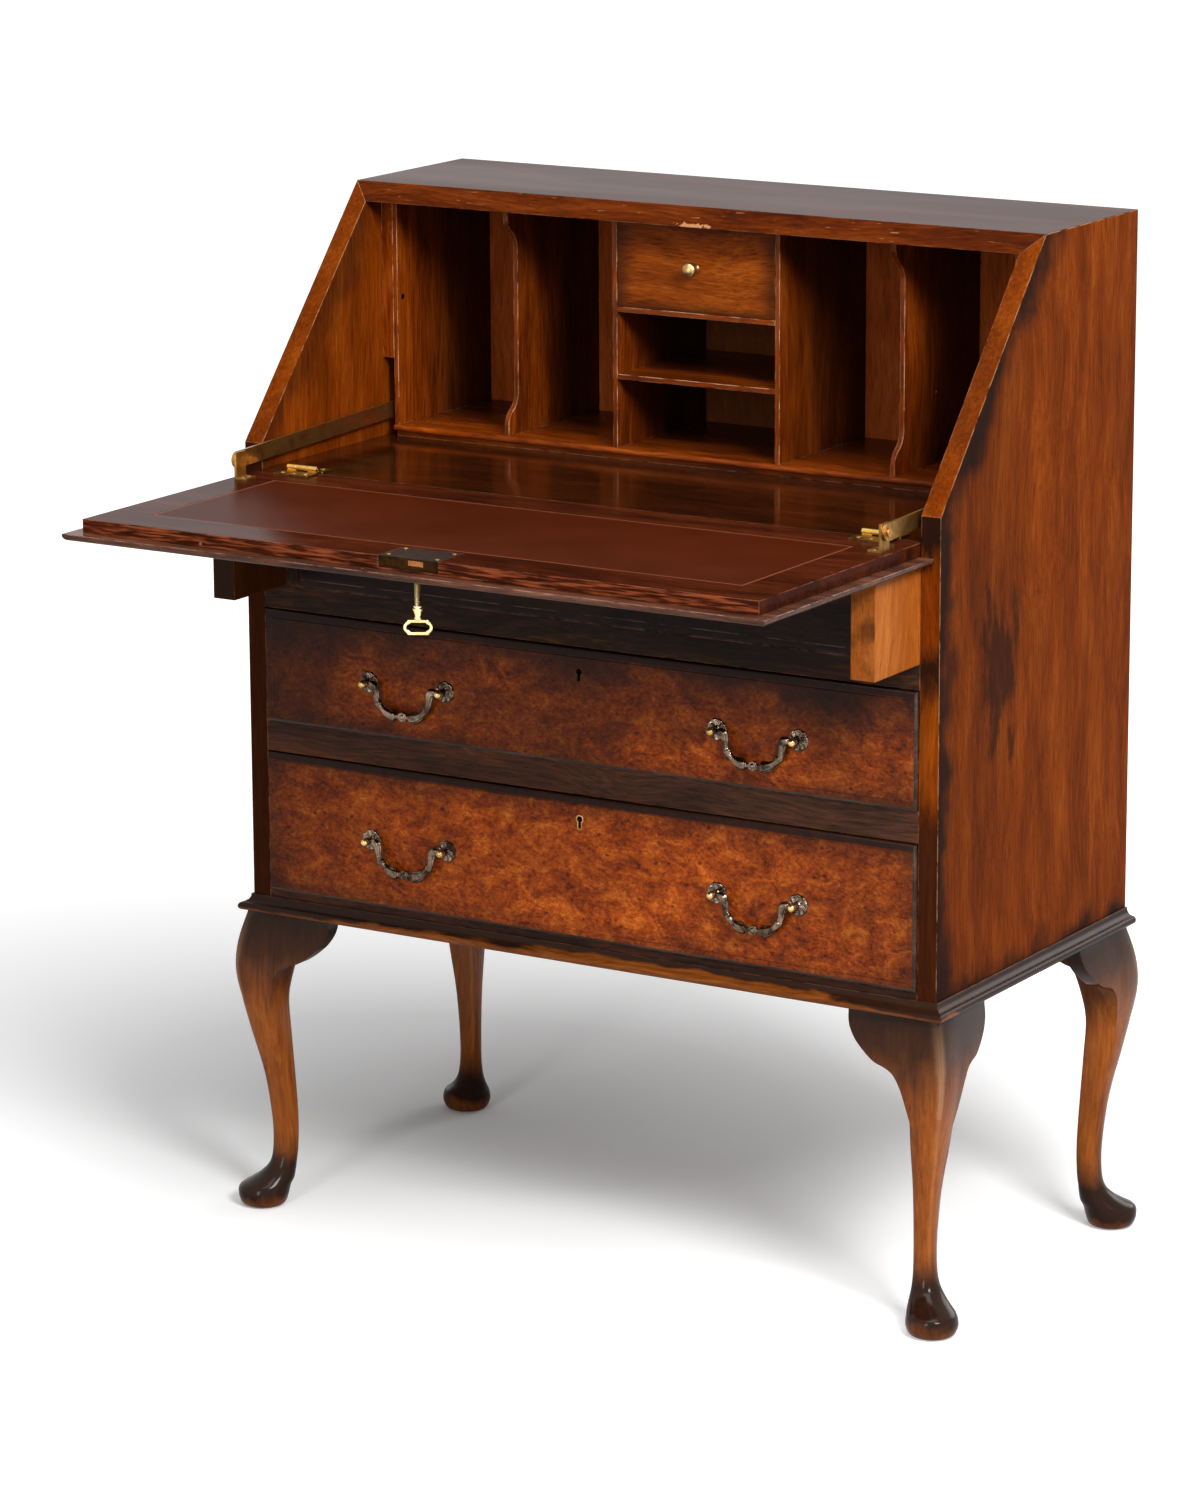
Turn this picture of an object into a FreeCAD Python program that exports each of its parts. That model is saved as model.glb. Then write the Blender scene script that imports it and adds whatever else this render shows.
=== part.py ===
import FreeCAD, Part
import math
import os

import Sketcher

# A fall-front writing bureau on four cabriole legs, built piece by piece.
# X runs to the right, Y to the back and Z up. The floor is at Z = 0 and the origin lies under the
# middle of the whole piece with its fall open. Heights are measured from the floor, and the depths
# below are measured from the front face of the carcass, which stands at the value front_y.

doc = FreeCAD.newDocument("writing_bureau")
sheet = doc.addObject("Spreadsheet::Sheet", "sizes")
Vector = FreeCAD.Vector
named_sizes = []
nodes = []


class Size:
    """A length that carries its number and its formula in the sheet."""

    def __init__(self, number, formula):
        self.number = number
        self.formula = formula

    def __add__(self, other):
        other = as_size(other)
        return Size(self.number + other.number, f"({self.formula} + {other.formula})")

    def __sub__(self, other):
        other = as_size(other)
        return Size(self.number - other.number, f"({self.formula} - {other.formula})")

    def __mul__(self, other):
        other = as_size(other)
        return Size(self.number * other.number, f"({self.formula} * {other.formula})")

    def __truediv__(self, other):
        other = as_size(other)
        return Size(self.number / other.number, f"({self.formula} / {other.formula})")

    def __neg__(self):
        return Size(-self.number, f"(0 - {self.formula})")


def as_size(value):
    """A plain number as a size, and a size as it is."""
    if isinstance(value, Size):
        return value
    return Size(float(value), f"({value})")


def root(value):
    """The square root of a size."""
    return Size(math.sqrt(value.number), f"sqrt({value.formula})")


def size(alias, number):
    """A driving size: one row of the sheet under its alias."""
    named_sizes.append(alias)
    row = len(named_sizes)
    sheet.set(f"A{row}", alias)
    sheet.set(f"B{row}", str(number))
    sheet.setAlias(f"B{row}", alias)
    return Size(float(number), f"sizes.{alias}")


# Main sizes of the carcass
carcass_width = size("carcass_width", 762)
carcass_depth = size("carcass_depth", 390)
top_depth = size("top_depth", 190)
leg_height = size("leg_height", 306)
interior_height = size("interior_height", 237.7)
slope_foot_rise = size("slope_foot_rise", 24.9)
side_thickness = size("side_thickness", 20)
top_thickness = size("top_thickness", 18)
back_thickness = size("back_thickness", 8)

# Heights of the front, from the bottom rail up to the writing surface
bottom_rail_height = size("bottom_rail_height", 23)
lower_opening_height = size("lower_opening_height", 141)
middle_rail_height = size("middle_rail_height", 30)
upper_opening_height = size("upper_opening_height", 113)
upper_rail_height = size("upper_rail_height", 24)
loper_slot_height = size("loper_slot_height", 92.3)

# The fall: a board with a thinner lip that laps over the carcass edges when it is shut
fall_body_thickness = size("fall_body_thickness", 13)
fall_lip_thickness = size("fall_lip_thickness", 6.5)
fall_lip_reach = size("fall_lip_reach", 14)
fall_lip_seat = size("fall_lip_seat", 14)
fall_side_gap = size("fall_side_gap", 1)
fall_end_gap = size("fall_end_gap", 1)
fall_under_gap = size("fall_under_gap", 0.5)
fall_bearing_gap = size("fall_bearing_gap", 0.3)
knuckle_rise = size("knuckle_rise", 4)

# Clearances that several pieces share
running_gap = size("running_gap", 0.3)
pivot_gap = size("pivot_gap", 0.06)

# Places worked out from those sizes
half_width = carcass_width / 2
inner_half = half_width - side_thickness
back_inner = carcass_depth - back_thickness
lower_opening_bottom = leg_height + bottom_rail_height
lower_opening_top = lower_opening_bottom + lower_opening_height
upper_opening_bottom = lower_opening_top + middle_rail_height
upper_opening_top = upper_opening_bottom + upper_opening_height
loper_floor = upper_opening_top + upper_rail_height
loper_ceiling = loper_floor + loper_slot_height
fall_underside = loper_ceiling + fall_under_gap
fall_lip_top = fall_underside + fall_lip_thickness
writing_top = fall_lip_top + fall_body_thickness
slope_foot_height = writing_top + slope_foot_rise
top_underside = writing_top + interior_height
carcass_height = top_underside + top_thickness

# The hinge line stands above the writing surface, so far behind the slope that the lip bears on it
slope_run = carcass_depth - top_depth
slope_rise = carcass_height - slope_foot_height
slope_length = root(slope_run * slope_run + slope_rise * slope_rise)
hinge_z = writing_top + knuckle_rise
hinge_depth = knuckle_rise + fall_body_thickness - fall_bearing_gap
hinge_y = (hinge_depth * slope_length + (hinge_z - slope_foot_height) * slope_run) / slope_rise
band_y = (top_underside - slope_foot_height) * slope_run / slope_rise
band_reach = ((band_y - hinge_y) * slope_run + (top_underside - hinge_z) * slope_rise) / slope_length
fall_length = band_reach - fall_end_gap
fall_front = hinge_y - fall_length
fall_half = inner_half - fall_side_gap

# The feet set how far the piece reaches to the back
leg_thickness = size("leg_thickness", 50)
back_leg_inset = size("back_leg_inset", 12)
pad_centre_share = -0.07
pad_radius_share = 0.50
pad_centre = leg_thickness * (pad_centre_share / math.sqrt(2))
back_reach = carcass_depth - back_leg_inset + pad_centre + leg_thickness * pad_radius_share
front_reach = fall_front - fall_lip_reach
front_y = -(front_reach + back_reach) / 2


def label_node(solid, label):
    """Keeps a finished piece under its own name."""
    solid.Label = label
    nodes.append(solid)
    return solid


def bind_place(solid, x, y, z):
    """Binds where a piece stands; its depth counts from the carcass front."""
    for axis, place in zip("xyz", (as_size(x), front_y + y, as_size(z))):
        solid.setExpression(f"Placement.Base.{axis}", place.formula)


def box(name, x, y, z):
    """A plain board between the low and high places given for each axis."""
    solid = doc.addObject("Part::Box", name)
    for side, (low, high) in zip(("Length", "Width", "Height"), (x, y, z)):
        solid.setExpression(side, (as_size(high) - low).formula)
    bind_place(solid, x[0], y[0], z[0])
    return solid


def middle_box(name, half, y, z):
    """A board that lies evenly about the middle."""
    return box(name, (-half, half), y, z)


turns = {
    "up": FreeCAD.Rotation(),
    "forward": FreeCAD.Rotation(Vector(1, 0, 0), 90),
    "right": FreeCAD.Rotation(Vector(0, 1, 0), 90),
}


def rod(name, radius, length, direction, x, y, z):
    """A round bar that starts at a place and runs up, forward or to the right."""
    solid = doc.addObject("Part::Cylinder", name)
    solid.setExpression("Radius", radius.formula)
    solid.setExpression("Height", length.formula)
    solid.Placement = FreeCAD.Placement(Vector(), turns[direction])
    bind_place(solid, x, y, z)
    return solid


def ball(name, radius, x, y, z):
    """A round knob end."""
    solid = doc.addObject("Part::Sphere", name)
    solid.setExpression("Radius", radius.formula)
    bind_place(solid, x, y, z)
    return solid


def joined(name, pieces):
    """Several shapes worked as one piece."""
    solid = doc.addObject("Part::MultiFuse", name)
    solid.Shapes = pieces
    solid.Refine = True
    return solid


def cut(name, base, tools):
    """A piece with mortises, bores or mitres cut from it."""
    solid = doc.addObject("Part::Cut", name)
    solid.Base = base
    solid.Tool = tools[0] if len(tools) == 1 else joined(f"{name}_tools", tools)
    return solid


def mirrored(name, source):
    """The same piece on the other side."""
    copy = doc.addObject("Part::Mirroring", name)
    copy.Source = source
    copy.Normal = Vector(1, 0, 0)
    return copy


def group(label, pieces):
    """Like pieces that share a name, each still a solid of its own."""
    solid = doc.addObject("Part::Compound", label)
    solid.Links = pieces
    return label_node(solid, label)


def pair(label, source):
    """A right piece and its mirror image under one name."""
    return group(label, [source, mirrored(f"{label}_mirror", source)])


def shaped(name, shape):
    """A piece whose shape is worked out here, set back to its place behind the carcass front."""
    solid = doc.addObject("Part::Feature", name)
    solid.Shape = shape
    shift = FreeCAD.Placement(Vector(0, front_y.number, 0), FreeCAD.Rotation())
    solid.Placement = shift.multiply(shape.Placement)
    return solid


def board(name, role, outline, length, start):
    """A board sawn to a straight-edged outline, from a sketch and a pad."""
    body = doc.addObject("PartDesign::Body", name)
    sketch = body.newObject("Sketcher::SketchObject", f"{name}_outline")
    plane = [part for part in body.Origin.OriginFeatures if part.Role == role][0]
    sketch.AttachmentSupport = (plane, [""])
    sketch.MapMode = "FlatFace"
    corners = [(as_size(across), as_size(up)) for across, up in outline]
    count = len(corners)
    for here, there in zip(corners, corners[1:] + corners[:1]):
        first = Vector(here[0].number, here[1].number, 0)
        last = Vector(there[0].number, there[1].number, 0)
        sketch.addGeometry(Part.LineSegment(first, last))
    for edge in range(count):
        sketch.addConstraint(Sketcher.Constraint("Coincident", edge, 2, (edge + 1) % count, 1))
    for edge, corner in enumerate(corners):
        for kind, place, axis in zip(("DistanceX", "DistanceY"), corner, (-2, -1)):
            if place.number == 0:
                sketch.addConstraint(Sketcher.Constraint("PointOnObject", edge, 1, axis))
                continue
            bound = Sketcher.Constraint(kind, -1, 1, edge, 1, place.number)
            index = sketch.addConstraint(bound)
            sketch.setExpression(f"Constraints[{index}]", place.formula)
    pad = body.newObject("PartDesign::Pad", f"{name}_pad")
    pad.Profile = sketch
    pad.Reversed = role == "XZ_Plane"
    pad.setExpression("Length", length.formula)
    body.Tip = pad
    bind_place(body, *start)
    return body


def edge_line(points):
    """Straight edges through the points."""
    return [Part.LineSegment(a, b).toShape() for a, b in zip(points, points[1:])]


# The two sides: sloped at the front, mitred to the top
side_outline = [
    (0, leg_height),
    (carcass_depth, leg_height),
    (carcass_depth, carcass_height),
    (slope_run, carcass_height),
    (0, slope_foot_height),
]
side_board = board("side_board", "YZ_Plane", side_outline, side_thickness, (inner_half, 0, 0))
mitre_outline = [
    (inner_half, top_underside),
    (half_width, carcass_height),
    (inner_half, carcass_height),
]
mitre_waste = board("mitre_waste", "XZ_Plane", mitre_outline, carcass_depth, (0, 0, 0))
side_right = label_node(cut("side_right", side_board, [mitre_waste]), "side_right")
label_node(mirrored("side_left", side_right), "side_left")

# The fall lock's bolt and the mortise in the top that it shoots into
bolt_centre_x = size("bolt_centre_x", 8)
bolt_half_width = size("bolt_half_width", 8)
bolt_length = size("bolt_length", 24)
bolt_thickness = size("bolt_thickness", 5)
bolt_depth = size("bolt_depth", 1.8)
bolt_travel = size("bolt_travel", 10)
bolt_gap = size("bolt_gap", 0.3)
mortise_gap = size("mortise_gap", 1)
bolt_top = writing_top - bolt_depth
bolt_bottom = bolt_top - bolt_thickness
bolt_left = bolt_centre_x - bolt_half_width
bolt_right = bolt_centre_x + bolt_half_width

# The top: its front edge follows the slope, its ends are mitred to the sides
top_outline = [
    (slope_run, carcass_height),
    (band_y, top_underside),
    (carcass_depth, top_underside),
    (carcass_depth, carcass_height),
]
top_blank = board("top_blank", "YZ_Plane", top_outline, carcass_width, (-half_width, 0, 0))
end_outline = [
    (inner_half, top_underside),
    (half_width, top_underside),
    (half_width, carcass_height),
]
end_waste = board("end_waste", "XZ_Plane", end_outline, carcass_depth, (0, 0, 0))
keep_mortise = doc.addObject("Part::Box", "keep_mortise")
keep_reach = fall_length + bolt_travel + mortise_gap
keep_low = bolt_bottom - mortise_gap - hinge_z
keep_mortise.setExpression("Length", (bolt_right - bolt_left + mortise_gap * 2).formula)
keep_mortise.setExpression("Width", keep_reach.formula)
keep_mortise.setExpression("Height", (bolt_thickness + mortise_gap * 2).formula)
slope_angle = math.degrees(math.atan2(slope_rise.number, slope_run.number))
closing_angle = 180 - slope_angle
shut = FreeCAD.Rotation(Vector(1, 0, 0), -closing_angle)
corner = shut.multVec(Vector(0, -keep_reach.number, keep_low.number))
keep_left = bolt_left - mortise_gap
keep_corner = Vector(keep_left.number, (front_y + hinge_y).number, hinge_z.number)
keep_mortise.Placement = FreeCAD.Placement(keep_corner + corner, shut)
top_tools = [end_waste, mirrored("end_waste_left", end_waste), keep_mortise]
label_node(cut("top_board", top_blank, top_tools), "top_board")

# Back panel, bottom rail and bottom board
rail_depth = size("rail_depth", 50)
bottom_board_thickness = size("bottom_board_thickness", 8)
back_heights = (leg_height, top_underside)
back_panel = middle_box("back_panel", inner_half, (back_inner, carcass_depth), back_heights)
label_node(back_panel, "back_panel")
bottom_rail = middle_box("bottom_rail", inner_half, (0, rail_depth), (leg_height, lower_opening_bottom))
label_node(bottom_rail, "bottom_rail")
bottom_heights = (leg_height, leg_height + bottom_board_thickness)
bottom_board = middle_box("bottom_board", inner_half, (rail_depth, back_inner), bottom_heights)
label_node(bottom_board, "bottom_board")

# Drawer locks: the bolt rises behind the drawer front into a mortise in the rail above
drawer_gap = size("drawer_gap", 1)
drawer_proud = size("drawer_proud", 3)
drawer_front_thickness = size("drawer_front_thickness", 20)
drawer_bolt_setback = size("drawer_bolt_setback", 3)
drawer_front_back = drawer_front_thickness - drawer_proud
drawer_bolt_front = drawer_front_back + drawer_bolt_setback
drawer_bolt_back = drawer_bolt_front + bolt_thickness


def rail(label, bottom, top):
    """A front rail with the mortise for the bolt of the drawer under it."""
    plain = middle_box(f"{label}_plain", inner_half, (0, rail_depth), (bottom, top))
    mortise = middle_box(
        f"{label}_mortise",
        bolt_half_width + mortise_gap,
        (drawer_bolt_front - mortise_gap, drawer_bolt_back + mortise_gap),
        (bottom, bottom + bolt_travel + mortise_gap),
    )
    return label_node(cut(label, plain, [mortise]), label)


rail("middle_rail", lower_opening_top, upper_opening_bottom)
rail("upper_rail", upper_opening_top, loper_floor)

# Runners that the drawers and the lopers slide on
runner_width = size("runner_width", 25)
runner_thickness = size("runner_thickness", 15)
partition_thickness = size("partition_thickness", 12)
loper_slot_width = size("loper_slot_width", 25)
slot_inner = inner_half - loper_slot_width
partition_inner = slot_inner - partition_thickness
runner_span = (rail_depth, back_inner)
runners = []
runner_places = ((lower_opening_bottom, "lower_runner"), (upper_opening_bottom, "upper_runner"))
for opening_bottom, name in runner_places:
    runner_heights = (opening_bottom - runner_thickness, opening_bottom)
    right_runner = box(name, (inner_half - runner_width, inner_half), runner_span, runner_heights)
    runners += [right_runner, mirrored(f"{name}_left", right_runner)]
group("drawer_runners", runners)
loper_runner_heights = (loper_floor - runner_thickness, loper_floor)
loper_runner = box("loper_runner", (partition_inner, inner_half), runner_span, loper_runner_heights)
pair("loper_runners", loper_runner)

# Partitions beside the loper slots, the blind frieze between them and the writing board over both
partition = box("partition", (partition_inner, slot_inner), (0, back_inner), (loper_floor, loper_ceiling))
pair("loper_partitions", partition)
frieze_thickness = size("frieze_thickness", 18)
frieze = middle_box("frieze_panel", partition_inner, (0, frieze_thickness), (loper_floor, loper_ceiling))
label_node(frieze, "frieze_panel")
writing_board_span = (hinge_y + running_gap, back_inner)
writing_board = middle_box("writing_board", inner_half, writing_board_span, (loper_ceiling, writing_top))
label_node(writing_board, "writing_board")


def run_round(name, profile, half, front, back, seat, reach, low, high):
    """A moulding run round the front and both sides, mitred at the two front corners."""
    room = reach + seat
    left_end = Vector(-(half + room).number, front.number, 0)
    front_face = Part.Face(Part.Wire(profile))
    side_face = front_face.copy()
    # the profile is drawn with its outward side along +X and its height along +Y
    upright = FreeCAD.Rotation(Vector(1, 0, 0), 90)
    side_face.Placement = FreeCAD.Placement(Vector(half.number, (back + room).number, 0), upright)
    side_run = side_face.extrude(Vector(0, (front - back - room * 2).number, 0))
    front_turn = FreeCAD.Rotation(Vector(0, 0, 1), -90).multiply(upright)
    front_face.Placement = FreeCAD.Placement(left_end, front_turn)
    front_run = front_face.extrude(Vector((half + room).number * 2, 0, 0))
    outer = Vector((half + room).number, (front - room).number, low.number)
    inner = Vector((half - room).number, (front + room).number, low.number)
    front_plan = [outer, inner, Vector(-inner.x, inner.y, inner.z), Vector(-outer.x, outer.y, outer.z)]
    outer_back = Vector(outer.x, back.number, low.number)
    inner_back = Vector(inner.x, back.number, low.number)
    side_plan = [outer, outer_back, inner_back, inner]
    rise = Vector(0, 0, (high - low).number)
    pieces = []
    for run, plan in ((front_run, front_plan), (side_run, side_plan)):
        keep = Part.Face(Part.Wire(edge_line(plan + plan[:1]))).extrude(rise)
        pieces.append(run.common(keep).removeSplitter())
    front_piece = shaped(f"{name}_front", pieces[0])
    side_piece = shaped(f"{name}_side", pieces[1])
    return front_piece, side_piece


# Base moulding: a rounded nose below, a cove above, glued round the foot of the carcass
moulding_height = size("moulding_height", 16)
moulding_reach = size("moulding_reach", 12)
nose_radius = moulding_height.number / 4
nose_x = moulding_reach.number - nose_radius
cove_foot_share = 0.58
cove_mid_shares = (0.28, 0.70)
cove_top_shares = (0.17, 0.94)
base_low = leg_height.number
nose_low = Vector(nose_x, base_low, 0)
nose_tip = Vector(moulding_reach.number, base_low + nose_radius, 0)
nose_high = Vector(nose_x, base_low + nose_radius * 2, 0)
cove_foot = Vector(moulding_reach.number * cove_foot_share, base_low + nose_radius * 2, 0)


def in_moulding(shares):
    """A point of the moulding's profile from its shares of reach and height."""
    across, up = shares
    return Vector(moulding_reach.number * across, base_low + moulding_height.number * up, 0)


cove_top = in_moulding(cove_top_shares)
fillet_top = Vector(cove_top.x, base_low + moulding_height.number, 0)
base_profile = edge_line([fillet_top, in_moulding((0, 1)), in_moulding((0, 0)), nose_low])
base_profile.append(Part.Arc(nose_low, nose_tip, nose_high).toShape())
base_profile += edge_line([nose_high, cove_foot])
base_profile.append(Part.Arc(cove_foot, in_moulding(cove_mid_shares), cove_top).toShape())
base_profile += edge_line([cove_top, fillet_top])
base_top = leg_height + moulding_height
base_front, base_side = run_round(
    "base_moulding", base_profile, half_width, as_size(0), carcass_depth,
    as_size(0), moulding_reach, leg_height, base_top,
)
group("base_moulding", [base_front, base_side, mirrored("base_moulding_side_left", base_side)])

# Cabriole legs: square at the knee, round at the ankle, on a pad foot
# Each row: share of the leg's height, then shares of its thickness for how far the outer and the
# inner edge lie out along the diagonal and how wide it is, then how round the section is
leg_rows_shares = (
    (0.000, 0.26, -0.39, 0.65, 2.0),
    (0.010, 0.37, -0.51, 0.88, 2.0),
    (0.036, 0.43, -0.57, 1.00, 2.0),
    (0.066, 0.41, -0.62, 0.94, 2.0),
    (0.088, 0.18, -0.69, 0.80, 2.0),
    (0.108, -0.02, -0.72, 0.68, 2.0),
    (0.141, -0.21, -0.75, 0.54, 2.0),
    (0.196, -0.28, -0.79, 0.46, 2.0),
    (0.294, -0.27, -0.80, 0.46, 1.95),
    (0.444, -0.14, -0.75, 0.56, 1.75),
    (0.588, 0.10, -0.69, 0.76, 1.5),
    (0.703, 0.28, -0.66, 0.90, 1.35),
    (0.804, 0.40, -0.80, 1.14, 1.25),
    (0.899, 0.34, -1.00, 1.20, 1.18),
    (1.000, 0.12, -1.08, 1.20, 1.12),
)
section_points = 32


def leg_section(row, corner_x, corner_y, side, end):
    """One level of the leg: a closed curve between a diamond and an ellipse."""
    height_share, outer_share, inner_share, width_share, roundness = row
    thick = leg_thickness.number
    along = (outer_share - inner_share) / 2 * thick
    across = width_share / 2 * thick
    middle = (outer_share + inner_share) / 2 * thick
    points = []
    for step in range(section_points):
        angle = 2 * math.pi * step / section_points
        spread = abs(math.cos(angle)) ** roundness + abs(math.sin(angle)) ** roundness
        scale = spread ** (-1 / roundness)
        out = middle + along * scale * math.cos(angle)
        cross = across * scale * math.sin(angle)
        x = corner_x + side * (out - cross) / math.sqrt(2)
        y = corner_y + end * (out + cross) / math.sqrt(2)
        points.append(Vector(x, y, leg_height.number * height_share))
    curve = Part.BSplineCurve()
    curve.interpolate(points, PeriodicFlag=True)
    return Part.Wire(curve.toShape())


# Knee blocks: shaped ears glued beside each knee, under the front and the side
ear_length = size("ear_length", 90)
ear_drop = size("ear_drop", 65)
ear_thickness = size("ear_thickness", 20)
ear_setback = size("ear_setback", 3)
ear_root_share = 0.36
ear_tip_shares = (1.00, 0.14)
ear_swell_shares = (0.92, 0.42)
ear_cusp_shares = (0.72, 0.73)
ear_hollow_shares = (0.60, 0.80)
ear_end_shares = (0.36, 1.00)


def ear_point(shares):
    """A point of an ear: its share of the length from the corner and of the drop below the carcass."""
    out, down = shares
    return Vector(ear_length.number * out, leg_height.number - ear_drop.number * down, 0)


def ear_shape():
    """One ear, drawn along X from the corner and standing up in Z."""
    root_top = ear_point((ear_root_share, 0))
    tip_top = ear_point((1, 0))
    tip = ear_point(ear_tip_shares)
    cusp = ear_point(ear_cusp_shares)
    end = ear_point(ear_end_shares)
    edges = edge_line([end, root_top, tip_top, tip])
    edges.append(Part.Arc(tip, ear_point(ear_swell_shares), cusp).toShape())
    edges.append(Part.Arc(cusp, ear_point(ear_hollow_shares), end).toShape())
    face = Part.Face(Part.Wire(edges))
    face.rotate(Vector(), Vector(1, 0, 0), 90)
    return face.extrude(Vector(0, ear_thickness.number, 0))


corner_back = (carcass_depth - back_leg_inset).number
ears = []
for end, end_name, corner_y in ((-1, "front", 0), (1, "back", corner_back)):
    for side, side_name in ((-1, "left"), (1, "right")):
        corner_x = side * half_width.number
        sections = [leg_section(row, corner_x, corner_y, side, end) for row in leg_rows_shares]
        label = f"leg_{end_name}_{side_name}"
        leg = label_node(shaped(label, Part.makeLoft(sections, True, False)), label)
        for turned in (False, True):
            ear = ear_shape()
            ear.translate(Vector(0, ear_setback.number, 0))
            if turned:
                ear = ear.mirror(Vector(), Vector(1, -1, 0))
            if side > 0:
                ear = ear.mirror(Vector(), Vector(1, 0, 0))
            if end > 0:
                ear = ear.mirror(Vector(), Vector(0, 1, 0))
            ear.translate(Vector(corner_x, corner_y, 0))
            blank = shaped(f"{label}_ear_{int(turned)}", ear)
            ears.append(cut(f"{label}_ear_cut_{int(turned)}", blank, [leg]))
group("knee_blocks", ears)

# Pigeonholes: thin boards on a round-nosed floor with a low plinth, set back behind the shut fall
pigeonhole_setback = size("pigeonhole_setback", 12)
pigeonhole_board = size("pigeonhole_board", 5)
stay_slot_width = size("stay_slot_width", 13)
wavy_divider_share = 0.62
centre_divider_share = 0.26
upper_shelf_share = 0.6145
lower_shelf_share = 0.3217
floor_plinth_height = size("floor_plinth_height", 5.5)
floor_plinth_setback = size("floor_plinth_setback", 4)
floor_nose_radius = size("floor_nose_radius", 3.25)
pigeonhole_front = slope_run + pigeonhole_setback
hole_span = (pigeonhole_front, back_inner)
case_half = inner_half - stay_slot_width
wavy_divider_x = case_half * wavy_divider_share
centre_divider_x = case_half * centre_divider_share
floor_low = writing_top + floor_plinth_height
floor_top = floor_low + floor_nose_radius * 2
hole_height = top_underside - floor_top
upper_shelf_top = floor_top + hole_height * upper_shelf_share
lower_shelf_top = floor_top + hole_height * lower_shelf_share
hole_heights = (floor_top, top_underside)
plinth_span = (pigeonhole_front + floor_plinth_setback, back_inner)
floor_plinth = middle_box("floor_plinth", case_half, plinth_span, (writing_top, floor_low))
floor_board = middle_box("floor_board", case_half, hole_span, (floor_low, floor_top))
floor_nose = rod(
    "floor_nose", floor_nose_radius, case_half * 2, "right",
    -case_half, pigeonhole_front, floor_low + floor_nose_radius,
)
floor_pieces = [floor_plinth, floor_board, floor_nose]
label_node(joined("pigeonhole_floor", floor_pieces), "pigeonhole_floor")
end_panel = box("end_panel", (case_half - pigeonhole_board, case_half), hole_span, hole_heights)
pair("pigeonhole_ends", end_panel)
centre_low = centre_divider_x - pigeonhole_board / 2
centre_high = centre_divider_x + pigeonhole_board / 2
pair("centre_dividers", box("centre_divider", (centre_low, centre_high), hole_span, hole_heights))
shelves = []
for name, shelf_top in (("upper_shelf", upper_shelf_top), ("lower_shelf", lower_shelf_top)):
    shelves.append(middle_box(name, centre_low, hole_span, (shelf_top - pigeonhole_board, shelf_top)))
group("pigeonhole_shelves", shelves)

# Wavy dividers: the front edge is hollowed between two ogee curves
wave_recess = size("wave_recess", 18)
wave_flat_share = 0.05
wave_turn_share = 0.11
wave_end_share = 0.18


def wavy_divider():
    """The divider's outline in depth and height, with an ogee at each end of the hollow edge."""
    low = floor_top.number
    tall = top_underside.number - low
    front = pigeonhole_front.number
    deep = front + wave_recess.number
    bow = wave_recess.number / 4

    def ogee(start, turn, stop):
        """Two arcs from the full depth at start to the hollow at stop."""
        heights = [low + tall * share for share in (start, turn, stop)]
        first_mid = (heights[0] + heights[1]) / 2
        last_mid = (heights[1] + heights[2]) / 2
        middle = Vector(0, (front + deep) / 2, heights[1])
        begin = Vector(0, front, heights[0])
        finish = Vector(0, deep, heights[2])
        first_arc = Part.Arc(begin, Vector(0, front + bow / 2, first_mid), middle)
        last_arc = Part.Arc(middle, Vector(0, deep - bow / 2, last_mid), finish)
        return begin, finish, [first_arc.toShape(), last_arc.toShape()]

    low_start, low_end, low_ogee = ogee(wave_flat_share, wave_turn_share, wave_end_share)
    high_start, high_end, high_ogee = ogee(1 - wave_flat_share, 1 - wave_turn_share, 1 - wave_end_share)
    back = back_inner.number
    edges = low_ogee + edge_line([low_end, high_end]) + high_ogee
    high = low + tall
    corners = [Vector(0, front, high), Vector(0, back, high), Vector(0, back, low), Vector(0, front, low)]
    edges += edge_line([high_start] + corners + [low_start])
    face = Part.Face(Part.Wire(Part.__sortEdges__(edges)))
    face.translate(Vector(wavy_divider_x.number - pigeonhole_board.number / 2, 0, 0))
    return face.extrude(Vector(pigeonhole_board.number, 0, 0))


pair("wavy_dividers", shaped("wavy_divider", wavy_divider()))

# Stays: each pivots on a lug near the back of the fall and keeps its slope while the fall moves
stay_reach_share = 0.1876
stay_length_share = 0.759
stay_pivot_rise = size("stay_pivot_rise", 18)
stay_height = size("stay_height", 16)
stay_rise = size("stay_rise", 9)
stay_pivot_reach = fall_length * stay_reach_share
stay_length = back_inner * stay_length_share
pivot_lift = stay_pivot_rise - knuckle_rise
pivot_swing = root(stay_pivot_reach * stay_pivot_reach + pivot_lift * pivot_lift)

# Strips that close the stay slots above the sweep of the brass stays
strip_gap = size("strip_gap", 1)
strip_bottom = hinge_z + pivot_swing + stay_height / 2 + stay_rise + strip_gap
strip_span = (pigeonhole_front, pigeonhole_front + pigeonhole_board)
strip_heights = (strip_bottom, top_underside)
pair("stay_cover_strips", box("stay_cover_strip", (case_half, inner_half), strip_span, strip_heights))

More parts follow.
